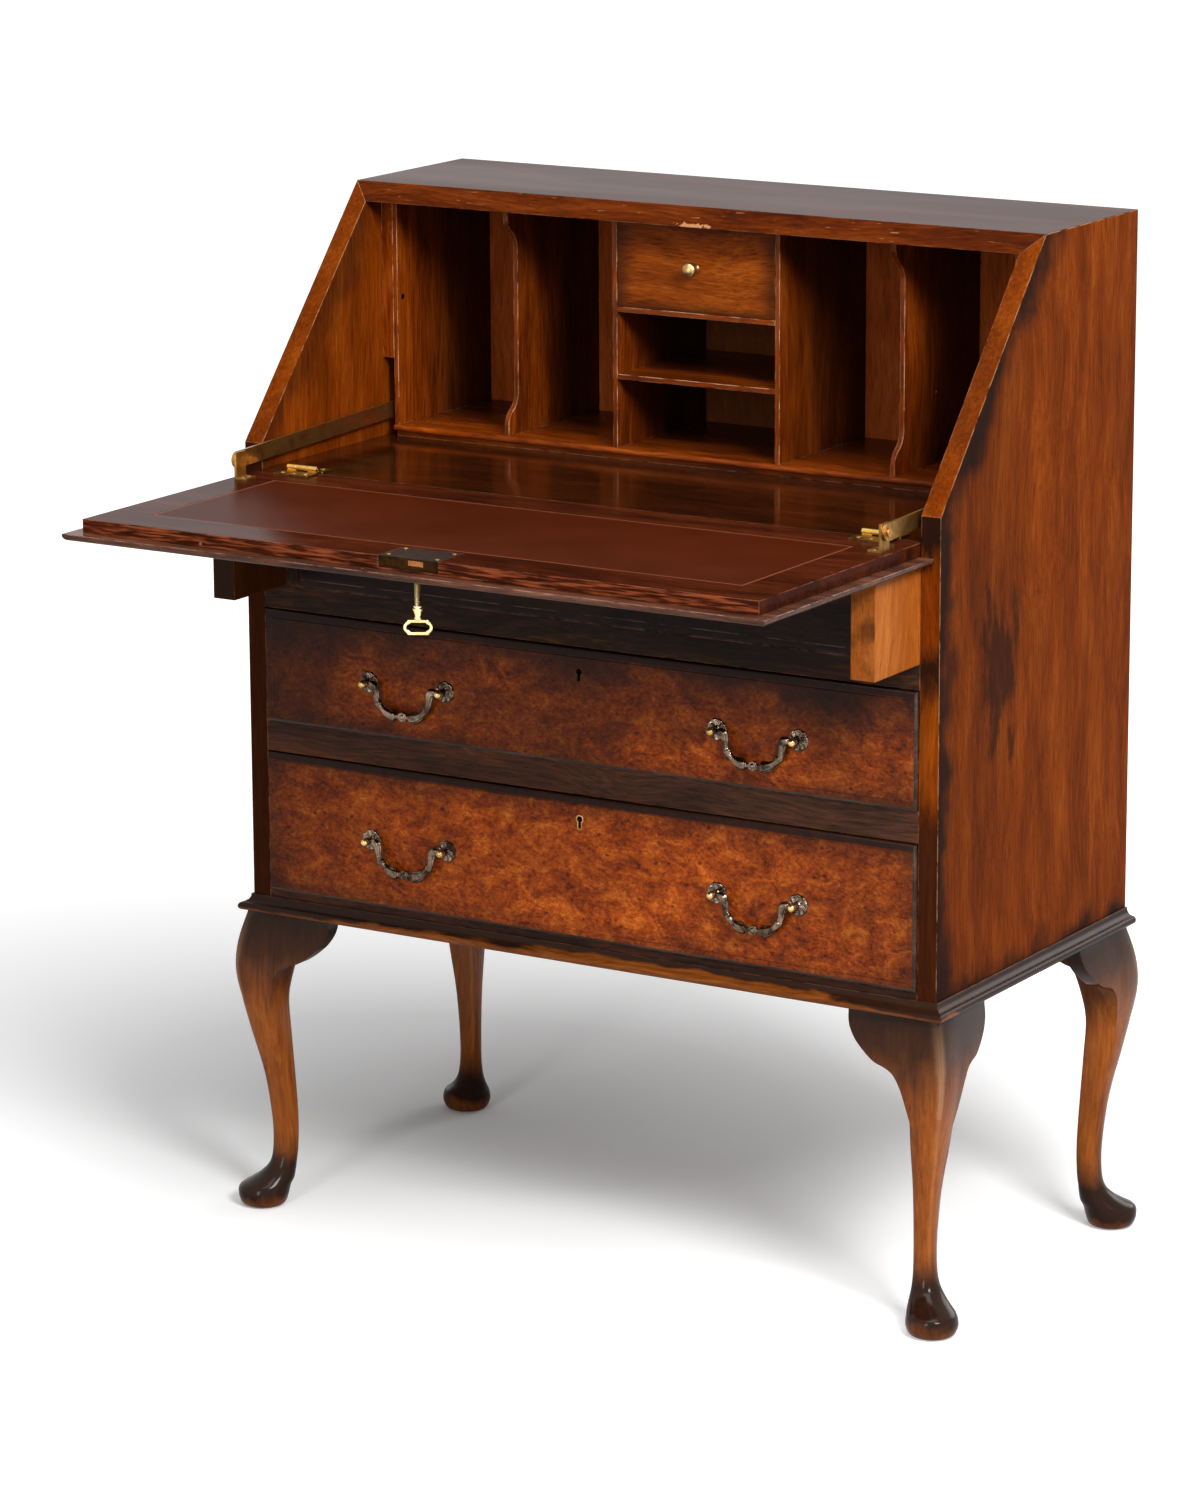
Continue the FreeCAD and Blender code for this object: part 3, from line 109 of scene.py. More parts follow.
def polished_walnut(name, along, tones, smoke, roughness, grain=3.2 * MM, figure=26 * MM, smoke_size=160 * MM,
                    smoke_dark="#1c0e08", shade=None, marks=None, rub="#b06a34", rubbed=0.5, gloss=0.05,
                    pore=0.66):
    """Walnut under shellac: streaks along one axis, smoky patches, and edges rubbed to the bare wood."""
    material, add, place = new_material(name)
    # the grain sways a centimetre or so to each side along the board
    drift = add("TexNoise", place, Scale=1 / 0.20, Detail=1).outputs["Color"]
    swayed = add("VectorMath ADD", place, add("VectorMath SCALE", drift, Scale=0.045))
    narrow, broad = ([share if axis == along else 1 for axis in "XYZ"] for share in (0.07, 0.16))
    drawn = add("Mapping", swayed, Scale=narrow)
    flame = add("Mapping", swayed, Scale=broad)
    streaks = add("TexNoise", drawn, Scale=1 / grain, Detail=4, Roughness=0.6)
    flames = add("TexNoise", flame, Scale=1 / figure, Detail=4, Roughness=0.55, Distortion=0.5)
    tone = add("Mix", Factor=0.45, A=flames, B=streaks)
    colour = add("ValToRGB", tone, stops=list(zip((0.34, 0.45, 0.54, 0.66), tones.split())))
    # open pores, drawn a little coarser than the half millimetre they are so that they show
    pores = add("TexNoise", drawn, Scale=1 / (1.1 * MM))
    pore_mask = add("ValToRGB", pores, stops=[(0.34, pore), (0.46, 1)])
    colour = add("Mix RGBA", Factor=1, A=colour, B=pore_mask, blend_type="MULTIPLY")
    cloud = add("TexNoise", flame, Scale=1 / smoke_size, Detail=4, Roughness=0.55)
    haze = add("ValToRGB", cloud, stops=[(0.45, 0), (0.72, smoke)])
    colour = add("Mix RGBA", Factor=haze, A=colour, B=smoke_dark)
    if shade:
        colour = add("Mix RGBA", Factor=shade(add, place), A=colour, B=smoke_dark)
    # knocks: small pale dents, a few to the hand's breadth
    knock = add("TexVoronoi", place, Scale=1 / 0.045)
    dent = add("MapRange", knock, 0.045, 0.025, To_Max=0.55)
    chosen = add("Math GREATER_THAN", add("SeparateXYZ", knock.outputs["Color"]).outputs["X"], 0.72)
    wear_and_highlight = add("Math MULTIPLY", dent, chosen)
    # the marks are real scratches on the top's band, and a painted highlight on the legs' arrises
    if marks:
        wear_and_highlight = add("Math MAXIMUM", wear_and_highlight, marks(add, place))
    rounded = {}
    if rubbed:
        # the bevel finds the arrises, where handling has rubbed the polish through
        bevel = add("Bevel", Radius=1.5 * MM)
        turn = add("VectorMath DOT_PRODUCT", bevel, add("NewGeometry").outputs["Normal"])
        arris = add("MapRange", turn, 0.985, 0.86)
        chafe = add("TexNoise", place, Scale=1 / 0.014, Detail=5)
        chafed = add("ValToRGB", chafe, stops=[(0.40, 0), (0.58, rubbed)])
        wear_and_highlight = add("Math MAXIMUM", add("Math MULTIPLY", arris, chafed), wear_and_highlight)
        rounded = {"Normal": bevel}
    colour = add("Mix RGBA", Factor=wear_and_highlight, A=colour, B=rub)
    dull = add("MapRange", cloud, 0.3, 0.7, To_Min=roughness - 0.04, To_Max=roughness + 0.07)
    swell = add("TexNoise", place, Scale=1 / 0.07, Detail=1)
    ripple = add("Bump", Strength=0.04, Distance=4 * MM, Height=swell, **rounded)
    grained = add("Bump", Strength=0.10, Distance=0.3 * MM, Height=pores, Normal=ripple)
    add("OutputMaterial", add("BsdfPrincipled", Base_Color=colour, Roughness=dull, Specular_IOR_Level=gloss,
                              Normal=grained))
    return material


def finish_node(node, material):
    """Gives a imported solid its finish."""
    mesh = cad[node].data
    mesh.materials.clear()
    mesh.materials.append(material)


def polish(node, *looks, wood="walnut", **more):
    """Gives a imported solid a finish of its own, named for its wood."""
    finish_node(node, polished_walnut(f"{wood}_{node}", *looks, **more))


def ragged(add, place, size, swing, detail=4, roughness=0.5):
    """Lumps of a given size that swing to either side of nought, for torn edges."""
    lumps = add("TexNoise", place, Scale=1 / size, Detail=detail, Roughness=roughness)
    return add("MapRange", lumps, To_Min=-swing, To_Max=swing)


def span_from(add, place, middle, squeeze):
    """How far a place is from a middle, with each axis squeezed by its own amount."""
    away = add("VectorMath SUBTRACT", place, middle)
    return add("VectorMath LENGTH", add("VectorMath MULTIPLY", away, squeeze))


def face_way(add, axis):
    """How much a face looks along an axis of its own body."""
    return add("SeparateXYZ", add("TexCoord").outputs["Normal"]).outputs[axis]


def side_shade(add, place):
    """Black polish on the upright front and ragged along the front edge, with one smoky blot."""
    x, y, z = add("SeparateXYZ", place).outputs
    depth = add("Math SUBTRACT", y, case_front)
    rise = add("Math SUBTRACT", z, slope_foot)
    under = add("Math MULTIPLY", depth, slope_rise / slope_length)
    over = add("Math MULTIPLY", rise, slope_run / slope_length)
    near = add("Math MINIMUM", depth, add("Math SUBTRACT", under, over))
    near = add("Math MINIMUM", near, add("Math SUBTRACT", z, side_low.z))
    near = add("Math ADD", near, ragged(add, place, 0.055, 0.040))
    edge = add("MapRange SMOOTHSTEP", near, 0.042, 0.004, To_Max=0.93)
    # the blot is a few centimetres across and feathers out along the grain
    away = span_from(add, place, blot_spot, (20, 20, 11))
    feather = add("Mapping", place, Scale=(1, 1, 0.4))
    away = add("Math ADD", away, ragged(add, feather, 0.022, 1.5, 5, 0.6))
    blot = add("MapRange SMOOTHSTEP", away, 1, 0.35, To_Max=0.72)
    # painted shade: the sloping face is darkened evenly, as it faces up into the light
    slope_shade_mask = add("Math GREATER_THAN", face_way(add, "Z"), 0.4)
    dark = add("Mix", Factor=slope_shade_mask, A=add("Math MAXIMUM", edge, blot), B=0.15)
    # the inner faces are a little paler than the outer ones
    outer = add("MapRange", add("Math MULTIPLY", face_way(add, "X"), x), -0.01, 0, To_Min=0.55)
    dark = add("Math MULTIPLY", dark, outer)
    # the upright front: black polish is left in bands up the right stile, and all up the left one
    long_patch = add("Mapping", place, Scale=(1, 1, 0.3))
    stile = add("MapRange", z, side_low.z, slope_foot)
    stile = add("Math ADD", stile, ragged(add, long_patch, 0.012, 0.07, 4, 0.6))
    bands = add("ValToRGB", stile, stops=[(0.38, 0.78), (0.46, 0.04), (0.62, 0.04), (0.68, 0.92),
                                          (0.71, 0.92), (0.76, 0.04), (0.89, 0.04), (0.94, 0.95)])
    kept = add("Mix", Factor=add("Math LESS_THAN", x, 0), A=bands, B=0.80)
    upright = add("Math LESS_THAN", face_way(add, "Y"), -0.9)
    return add("Mix", Factor=upright, A=dark, B=kept)


for side in ("side_left", "side_right"):
    polish(side, "Z", "#5a2503 #702e04 #803807 #95480e", smoke=0.45, roughness=0.30, figure=30 * MM,
           smoke_dark="#19100c", shade=side_shade, rub="#c08a60", rubbed=0.9, gloss=0.008)

# Top board: one wide walnut board with its front edge planed to the slope.
# Old polish, a little cloudy; the edge band is scratched where the fall strikes it, and chipped
# round the keep. The grain runs from side to side.
chip_spot = (0.010, 0.137, 0.989)


def painted_top_shade(add, place):
    """Painted shade: the upper face is darker than the band."""
    return add("MapRange", face_way(add, "Z"), 0.8, 0.9, To_Max=0.55)


def band_scratches(add, place):
    """Short slanting scratches on the front band, and a chipped patch in front of the keep."""
    band = add("Math LESS_THAN", face_way(add, "Y"), -0.4)
    slanted = add("Mapping", place, Rotation=(0, 0.7, 0), Scale=(0.10, 0.10, 1))
    hair = add("ValToRGB", add("TexNoise", slanted, Scale=1 / (2.2 * MM)), stops=[(0.68, 0), (0.74, 0.5)])
    away = span_from(add, place, chip_spot, (42, 260, 260))
    away = add("Math ADD", away, ragged(add, place, 4 * MM, 1, 3))
    chip = add("MapRange", away, 0.8, 0.6)
    return add("Math MULTIPLY", band, add("Math MAXIMUM", hair, chip))


polish("top_board", "X", "#341406 #471a06 #582307 #6c2f0e", smoke=0.3, roughness=0.22, smoke_dark="#180b06",
       shade=painted_top_shade, marks=band_scratches, rub="#a8744e", rubbed=0.35, gloss=0.0145)

# Back panel: a thin board, polished walnut on the face that shows in the pigeonholes.
# Its outer face is planed softwood left bare, so it is dull and browned by age.
shelf_half = 90 * MM


def bare_back_and_shelf_shade(add, place):
    """Dull where the back panel faces the wall, with painted shade on the face in the pigeonholes."""
    outer = add("MapRange", face_way(add, "Y"), 0.4, 0.6, To_Max=0.62)
    # painted shade: a little over the inner face and more behind the shelves, and there on the outer face too
    across = add("Math ABSOLUTE", add("SeparateXYZ", place).outputs["X"])
    middle = add("MapRange", across, shelf_half + 1 * MM, shelf_half, To_Min=0.2, To_Max=0.8)
    return add("Math MAXIMUM", outer, middle)


polish("back_panel", "Z", "#7c340e #964214 #a64c1a #b85c26", smoke=0.2, roughness=0.35,
       smoke_dark="#3c2414", shade=bare_back_and_shelf_shade, rubbed=0)

# Bottom board, runners and loper partitions: plain softwood inside the case, sawn and planed.
# Left bare, so the surface is dull and browned by age; the partitions, which show, are stained dark.
bare_tones = "#4f3420 #6d4b30 #7f5a3a #92704c"
for node, along, tones in (("bottom_board", "X", bare_tones), ("drawer_runners", "Y", bare_tones),
                           ("loper_runners", "Y", bare_tones),
                           ("loper_partitions", "Y", "#1c1410 #2a1d16 #38271d #4a3526")):
    polish(node, along, tones, wood="bare_softwood", smoke=0.35, roughness=0.6, figure=40 * MM, rubbed=0)

# Front rails: walnut stained nearly black, with orange-brown wood showing where it is worn.
# They carry the drawers and are housed into the sides.
for node, tones in (("bottom_rail", "#23150f #382118 #4c2c1e #744026"),
                    ("middle_rail", "#2b1a12 #422a1f #583424 #7c4626"),
                    ("upper_rail", "#17100d #241812 #362217 #683a1a")):
    polish(node, "X", tones, wood="stained_walnut", smoke=0.85, roughness=0.33, figure=50 * MM,
           smoke_size=70 * MM, smoke_dark="#191210", rub="#a5643a", rubbed=0.8)

# Frieze: a blind panel between the loper slots, faced with a sham drawer front with a moulded edge.
# Stained walnut like the rails. The edge is a flat ovolo with a small step inside it.


def add_object(name, data):
    """Puts a new object into the scene."""
    made = bpy.data.objects.new(name, data)
    bpy.context.scene.collection.objects.link(made)
    return made


def make_piece(name, mesh, material, body, smooth=True, crisp=0):
    """Turns a finished mesh into a piece that rides on a body, with sharp arrises over a given angle."""
    bmesh.ops.recalc_face_normals(mesh, faces=mesh.faces)
    for face in mesh.faces:
        face.smooth = smooth
    data = bpy.data.meshes.new(name)
    mesh.to_mesh(data)
    mesh.free()
    if crisp:
        data.set_sharp_from_angle(angle=radians(crisp))
    data.materials.append(material)
    piece = add_object(name, data)
    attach(piece, body)
    return piece


def join_rings(mesh, rings):
    """Adds a band of faces between each closed ring of points and the next."""
    for first, second in zip(rings, rings[1:]):
        for step in range(len(first)):
            after = (step + 1) % len(first)
            mesh.faces.new((first[step], first[after], second[after], second[step]))


def raised_panel(mesh, low, high, rings, hole=()):
    """Adds a panel that faces the front: rings of inset and depth in millimetres, and a hole in its field."""
    loops = []
    for inset, depth in rings:
        step = inset * MM
        corners = ((low.x + step, low.z + step), (high.x - step, low.z + step),
                   (high.x - step, high.z - step), (low.x + step, high.z - step))
        loops.append([mesh.verts.new((x, low.y + depth * MM, z)) for x, z in corners])
    join_rings(mesh, loops)
    field = loops[-1]
    rim = [mesh.verts.new((x, field[0].co.y, z)) for x, z in hole]
    flat = [[v.co.xzy for v in field]]
    if rim:
        flat.append([v.co.xzy for v in rim])
        join_rings(mesh, [rim, [mesh.verts.new((x, low.y, z)) for x, z in hole]])
    every = field + rim
    for triangle in geometry.tessellate_polygon(flat):
        mesh.faces.new([every[index] for index in triangle])


# the frieze's rubbed arrises are pale grey and at full strength: wear, and partly a painted highlight on the
# sham front's lower edge
stained = polished_walnut("stained_walnut_frieze", "X", "#17100d #211713 #2b1d18 #422519", smoke=0.8,
                          roughness=0.28, figure=50 * MM, smoke_size=90 * MM, smoke_dark="#141010",
                          rub="#7a6058", rubbed=1)
finish_node("frieze_panel", stained)
frieze_low, frieze_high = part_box("frieze_panel")
sham = bmesh.new()
raised_panel(sham, Vector((frieze_low.x + 1 * MM, frieze_low.y, frieze_low.z + 1.2 * MM)),
             Vector((frieze_high.x - 1 * MM, frieze_low.y, frieze_high.z - 0.8 * MM)),
             ((0, 0.2), (0, -0.6), (0.4, -1.2), (1.4, -1.8), (3.2, -2.2), (6.6, -2.3), (7, -2.4),
              (7.2, -3), (7.8, -3.1)))
make_piece("frieze_sham_front", sham, stained, "carcass", smooth=False)

# Base moulding: three mitred lengths round the foot of the case, dark with rubbed high points.
# A rounded nose under a small cove, worked with a plane along the grain. The black polish is worn
# off the lower edge along the middle of the front.
mould_low, mould_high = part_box("base_moulding")


def mould_shade(add, place):
    """Black above and toward the ends, with bare wood showing along the lower edge of the front."""
    x, y, z = add("SeparateXYZ", place).outputs
    level = add("MapRange", z, mould_low.z, mould_high.z)
    left = add("MapRange", x, -0.10, -0.32, To_Max=0.32)
    right = add("MapRange", x, 0.24, 0.36, To_Max=0.30)
    back = add("MapRange", y, mould_low.y + 0.03, mould_low.y + 0.06, To_Max=0.7)
    long_patch = add("Mapping", place, Scale=(0.3, 0.3, 1))
    tear = add("TexNoise", long_patch, Scale=1 / 0.016, Detail=4)
    for more in (left, right, back, tear):
        level = add("Math ADD", level, more)
    return add("MapRange SMOOTHSTEP", level, 1.00, 1.20, To_Max=0.93)


polish("base_moulding", "X", "#4c230c #6c3610 #834516 #9c5a28", smoke=0.3, roughness=0.24, figure=60 * MM,
       smoke_dark="#1b100c", shade=mould_shade, rub="#8a5a3c", gloss=0.1)

# Cabriole legs and knee blocks: sawn from solid walnut, shaped with a spokeshave and polished.
# The feet are nearly black and glossy above, and scuffed to dull brown round the pad.
leg_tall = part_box("leg_front_left")[1].z
leg_thick = 50 * MM
back_corner = side_high.y - 12 * MM


def foot_shade(add, place):
    """Dark polish on the foot, and darker up toward the case; clear in between."""
    height = add("SeparateXYZ", place).outputs["Z"]
    height = add("MapRange", add("Math ADD", height, ragged(add, place, 0.03, 0.018, 3)), From_Max=0.306)
    return add("ValToRGB", height, stops=[(0.02, 0.50), (0.05, 0.96), (0.13, 0.96), (0.24, 0.15),
                                          (0.66, 0), (0.79, 0.48), (0.89, 0.88), (1, 0.97)])


def painted_arris_highlight(add, place):
    """Painted highlight along the arris, from the knee to the ankle, in the pale colour of worn polish."""
    x, y, z = add("SeparateXYZ", place).outputs
    sharp = add("MapRange", add("NewGeometry").outputs["Pointiness"], 0.515, 0.58)
    height = add("MapRange", z, From_Max=leg_tall)
    where = add("ValToRGB", height, stops=[(0.14, 0), (0.25, 0.45), (0.6, 0.55), (0.8, 0.4), (0.97, 0.1)])
    worn = add("Math MULTIPLY", sharp, where)
    # the arris stands as far out past the side of the case as past its front or back
    sideways = add("Math SUBTRACT", add("Math ABSOLUTE", x), side_high.x)
    backways = add("Math SUBTRACT", y, back_corner)
    endways = add("Math MAXIMUM", backways, add("Math SUBTRACT", case_front, y))
    apart = add("Math ABSOLUTE", add("Math SUBTRACT", sideways, endways))
    return add("Math MULTIPLY", worn, add("MapRange", apart, 0.016, 0.006))


def smooth_line(points, parts):
    """Points on a smooth curve through the given rows of numbers."""
    rows = [Vector(p) for p in points]
    rows = [rows[0]] + rows + [rows[-1]]
    line = []
    for a, b, c, d in zip(rows, rows[1:], rows[2:], rows[3:]):
        for step in range(parts):
            t = step / parts
            line.append(0.5 * (2 * b + (c - a) * t + (2 * a - 5 * b + 4 * c - d) * t * t
                               + (3 * b - a - 3 * c + d) * t ** 3))
    return line + [rows[-1]]


def leg_section(row, angle):
    """A point on a leg's section: how far out along the diagonal and across it, in millimetres."""
    height, outer, inner, width, round_share = row
    scale = (abs(cos(angle)) ** round_share + abs(sin(angle)) ** round_share) ** (-1 / round_share)
    out = (outer + inner) / 2 + (outer - inner) / 2 * scale * cos(angle)
    return out * leg_thick / MM, width / 2 * scale * sin(angle) * leg_thick / MM


def ease(value, low, high):
    """Zero below the low value, one above the high one, and smooth between them."""
    share = min(max((value - low) / (high - low), 0), 1)
    return share * share * (3 - 2 * share)


def stand_out(points, reach):
    """How far a face stands out at a distance along it, between known points."""
    return float(numpy.interp(reach, *zip(*points)))


# each row of a leg: share of its height, shares of its thickness for the outer and the inner edge on
# the diagonal and for the width, and how round the section is; the arris runs down to the ankle
leg_rows = [(0.000, 0.26, -0.39, 0.65, 2), (0.010, 0.37, -0.51, 0.88, 2), (0.036, 0.43, -0.57, 1.00, 2),
            (0.066, 0.41, -0.62, 0.94, 2), (0.088, 0.18, -0.69, 0.80, 2),
            (0.108, -0.02, -0.72, 0.68, 1.9), (0.141, -0.21, -0.75, 0.54, 1.75),
            (0.196, -0.28, -0.79, 0.46, 1.6), (0.294, -0.27, -0.80, 0.46, 1.5),
            (0.444, -0.14, -0.75, 0.56, 1.4), (0.588, 0.10, -0.69, 0.76, 1.3),
            (0.703, 0.28, -0.66, 0.90, 1.22), (0.804, 0.40, -0.80, 1.14, 1.15),
            (0.899, 0.34, -1.00, 1.20, 1.1), (1.000, 0.12, -1.08, 1.20, 1.08)]
# each row of a knee block: how far below the case it is, and how long the block is there from the corner
# of the case, in millimetres
knee_rows = [(0, 90), (9, 90), (18, 87.5), (28, 81), (37, 71.5), (44, 62), (47, 56), (49.5, 47.5), (53, 40),
             (58, 35), (66, 30.5), (77, 27), (90, 24), (104, 21), (115, 17)]
leg_line = smooth_line(leg_rows, 4)
leg_turns = 48
face_parts = 24
block_parts = 12
diagonal = sqrt(2)


def knee_block(mesh, corner, inward, outward):
    """Adds the block that carries on one face of a leg under the case, away from its corner."""
    faces, backs = [], []
    for drop, length in smooth_line(knee_rows, 3):
        height = 1 - drop * MM / leg_tall
        under, over = [pair for pair in zip(leg_line, leg_line[1:]) if pair[0][0] <= height][-1]
        section = under.lerp(over, (height - under[0]) / (over[0] - under[0]))
        points = [leg_section(section, pi / 2 * step / face_parts) for step in range(face_parts + 1)]
        points = [((cross - out) / diagonal, (out + cross) / diagonal) for out, cross in points]
        # the block follows the flat of the leg's face and runs on past it, and sinks in lower down
        flat = 0.7 * points[-1][0]
        slope = (stand_out(points, flat) - stand_out(points, flat - 8)) / 8
        slope = min(max(slope, -0.04), 0.02)
        lift = 0.3 - 1.2 * ease(drop, 82, 112)
        thick = 17 - 12 * ease(drop, 52, 107)
        start = points[0][0] + 0.4
        face, back = [], []
        for step in range(block_parts + 1):
            reach = start + (length - start) * step / block_parts
            past = max(reach - flat, 0)
            bow = stand_out(points, min(reach, flat)) + lift + slope * past - 1.5 * (past / 65) ** 2
            foot = corner + inward * reach * MM - Vector((0, 0, drop * MM))
            face.append(mesh.verts.new(foot + outward * bow * MM))
            back.append(mesh.verts.new(foot + outward * (bow - thick) * MM))
        faces.append(face)
        backs.append(back)
    # the front and the back of the block, its two ends, and its top and foot
    ends = [([row[step] for row in faces], [row[step] for row in backs]) for step in (0, -1)]
    caps = [(faces[row], backs[row]) for row in (0, -1)]
    for first, second in [*zip(faces, faces[1:]), *zip(backs, backs[1:]), *ends, *caps]:
        for step in range(len(first) - 1):
            mesh.faces.new((first[step], first[step + 1], second[step + 1], second[step]))


# the pale rub colour marks the dents, and paints a highlight along each arris
leg_walnut = polished_walnut(
    "walnut_legs", "Z", "#743510 #924b14 #a6581a #ba6a2a", smoke=0.35, roughness=0.14,
    smoke_dark="#1a100b", shade=foot_shade, marks=painted_arris_highlight, rub="#d2a078", rubbed=0, gloss=0.14, pore=0.85)
knees = bmesh.new()
for end, end_name, corner_y in ((-1, "front", case_front), (1, "back", back_corner)):
    for side, side_name in ((-1, "left"), (1, "right")):
        corner = Vector((side * side_high.x, corner_y, leg_tall))
        leg = bmesh.new()
        rings = []
        for row in leg_line:
            section = [leg_section(row, 2 * pi * step / leg_turns) for step in range(leg_turns)]
            rings.append([leg.verts.new((corner.x + side * (out - cross) * MM / diagonal,
                                         corner.y + end * (out + cross) * MM / diagonal, row[0] * leg_tall))
                          for out, cross in section])
        join_rings(leg, rings)
        leg.faces.new(rings[0])
        leg.faces.new(rings[-1])
        node = f"leg_{end_name}_{side_name}"
        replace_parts(make_piece(f"{node}_shaped", leg, leg_walnut, "carcass"), node)
        for inward, outward in ((Vector((-side, 0, 0)), Vector((0, end, 0))),
                                (Vector((0, -end, 0)), Vector((side, 0, 0)))):
            knee_block(knees, corner, inward, outward)
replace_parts(make_piece("knee_blocks_shaped", knees, leg_walnut, "carcass", crisp=40), "knee_blocks")

# Writing board: the fixed part of the writing surface, between the hinges and the pigeonholes.
# Polished till it mirrors the pigeonholes, with the grain from side to side.
polish("writing_board", "X", "#200d04 #2e1205 #3a1807 #48200b", smoke=0.35, roughness=0.10, rubbed=0.4,
       gloss=0.5)

# Pigeonholes: thin walnut boards housed into each other, with the grain upright or from side to side.
# Their front edges are rubbed light by hands and papers, and painted shade darkens them toward the back.
hole_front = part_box("centre_dividers")[0].y


def painted_depth_shade(add, place):
    """Painted shade, darker toward the back of the pigeonholes."""
    depth = add("SeparateXYZ", place).outputs["Y"]
    return add("MapRange SMOOTHSTEP", depth, hole_front + 0.01, hole_front + 0.12, To_Max=0.78)


for node, along in (("pigeonhole_floor", "X"), ("pigeonhole_ends", "Z"), ("centre_dividers", "Z"),
                    ("pigeonhole_shelves", "X"), ("wavy_dividers", "Z"), ("stay_cover_strips", "Z")):
    polish(node, along, "#481c03 #6a2905 #843908 #a04c12", smoke=0.45, roughness=0.24, smoke_dark="#140904",
           shade=painted_depth_shade, rub="#d0a880", rubbed=1, gloss=0.12)

# Fall: a flat board with a lip that laps the case when it is shut, in dark red-brown polish.
# Its front edge is knocked and streaked with bare wood.


def fall_edge(add, place):
    """Red wood showing in long streaks where the polish has gone from the front edge."""
    forward = add("Math LESS_THAN", face_way(add, "Y"), -0.7)
    drawn = add("Mapping", place, Scale=(0.07, 1, 1))
    streak = add("TexNoise", drawn, Scale=1 / (2.6 * MM), Detail=4)
    bare = add("ValToRGB", streak, stops=[(0.46, 0), (0.62, 0.8)])
    return add("Math MULTIPLY", forward, bare)


polish("fall_board", "X", "#260f07 #38160a #461c0c #562612", smoke=0, roughness=0.14,
       smoke_dark="#984c2c", shade=fall_edge, rub="#b0755a", gloss=0.013)
# the lip's rubbed arrises are pale grey: wear, and partly a painted highlight along its lower edge
polish("fall_lip_mouldings", "X", "#2e1a13 #4a2b1f #603a2b #7c5341", smoke=0.45, roughness=0.24,
       rub="#b08a78", rubbed=0.9, gloss=0.11)

# Leather: one skin let into the fall, with a fine tooled line near its edge.
# Dyed red-brown hide, worn to a soft sheen; the pebble is about a millimetre across.
leather_low, leather_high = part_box("fall_leather")
leather_middle = (leather_low + leather_high) / 2
line_in = 2 * MM
line_width = 1 * MM
material, add, place = new_material("skiver_leather")
pebble = add("TexVoronoi", place, Scale=1 / (1.1 * MM), feature="SMOOTH_F1")
patchy = add("TexNoise", place, Scale=1 / 0.09, Detail=5)
hide = add("ValToRGB", patchy, stops=[(0.3, "#3a1405"), (0.7, "#451907")])
spot = add("SeparateXYZ", place)
past = []
for axis in (0, 1):
    half = (leather_high[axis] - leather_low[axis]) / 2 - line_in
    away = add("Math ABSOLUTE", add("Math SUBTRACT", spot.outputs[axis], leather_middle[axis]))
    past.append(add("Math SUBTRACT", away, half))
off_line = add("Math ABSOLUTE", add("Math MAXIMUM", *past))
tooled = add("MapRange", off_line, line_width / 2, line_width, To_Min=0.8, To_Max=0)
hide = add("Mix RGBA", Factor=tooled, A=hide, B="#8c5038")
sheen = add("MapRange", patchy, To_Min=0.30, To_Max=0.42)
pressed = add("Bump", Strength=0.18, Distance=0.3 * MM, Height=pebble)
add("OutputMaterial", add("BsdfPrincipled", Base_Color=hide, Roughness=sheen, Specular_IOR_Level=0.02,
                          Normal=pressed))
finish_node("fall_leather", material)

# Hinges, locks, bolts and stays: sheet and cast brass, filed, polished and then left.
# Yellow metal dulled to brown, bright only where it rubs, such as the hinge knuckles.
hinge_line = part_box("hinge_board_leaves")[0].y + 3.2 * MM


def old_brass(name, bright, dull, roughness, rubs=None):
    """Brass with brown tarnish in soft patches, bright where it rubs."""
    material, add, place = new_material(name)
    tarnish = add("TexNoise", place, Scale=1 / 0.012, Detail=6, Roughness=0.65)
    clean = add("MapRange", tarnish, 0.38, 0.62)
    if rubs:
        clean = add("Mix", Factor=0.75, A=clean, B=rubs(add, place))
    colour = add("Mix RGBA", Factor=clean, A=dull, B=bright)
    rough = add("MapRange", clean, To_Min=roughness + 0.12, To_Max=roughness - 0.06)
    # hairline scratches, drawn half a millimetre apart so that they show
    fine = add("Mapping", place, Scale=(1, 0.1, 1))
    scratch = add("TexNoise", fine, Scale=1 / (0.6 * MM))
    rounded = add("Bevel", Radius=0.6 * MM)
    marks = add("Bump", Strength=0.08, Distance=0.2 * MM, Height=scratch, Normal=rounded)
    add("OutputMaterial", add("BsdfPrincipled", Base_Color=colour, Roughness=rough, Metallic=1,
                              Normal=marks))
    return material


def knuckle_rub(add, place):
    """Bright on the knuckles, dull on the leaves."""
    away = add("Math SUBTRACT", add("SeparateXYZ", place).outputs["Y"], hinge_line)
    return add("MapRange", add("Math ABSOLUTE", away), 5 * MM, 3.6 * MM)


def turn_on_lathe(mesh, profile, place, turns=28, lobes=0, depth=0):
    """Adds a turned form: pairs of radius and height in millimetres, with scalloped sides if it has lobes."""
    rings = []
    for radius, height in profile:
        ring = []
        for step in range(turns):
            angle = 2 * pi * step / turns
            reach = radius * (1 + depth * cos(lobes * angle))
            spot = Vector((reach * cos(angle), reach * sin(angle), height)) * MM
            ring.append(mesh.verts.new(place @ spot))
        rings.append(ring)
    join_rings(mesh, rings)
    mesh.faces.new(list(reversed(rings[0])))
    mesh.faces.new(rings[-1])


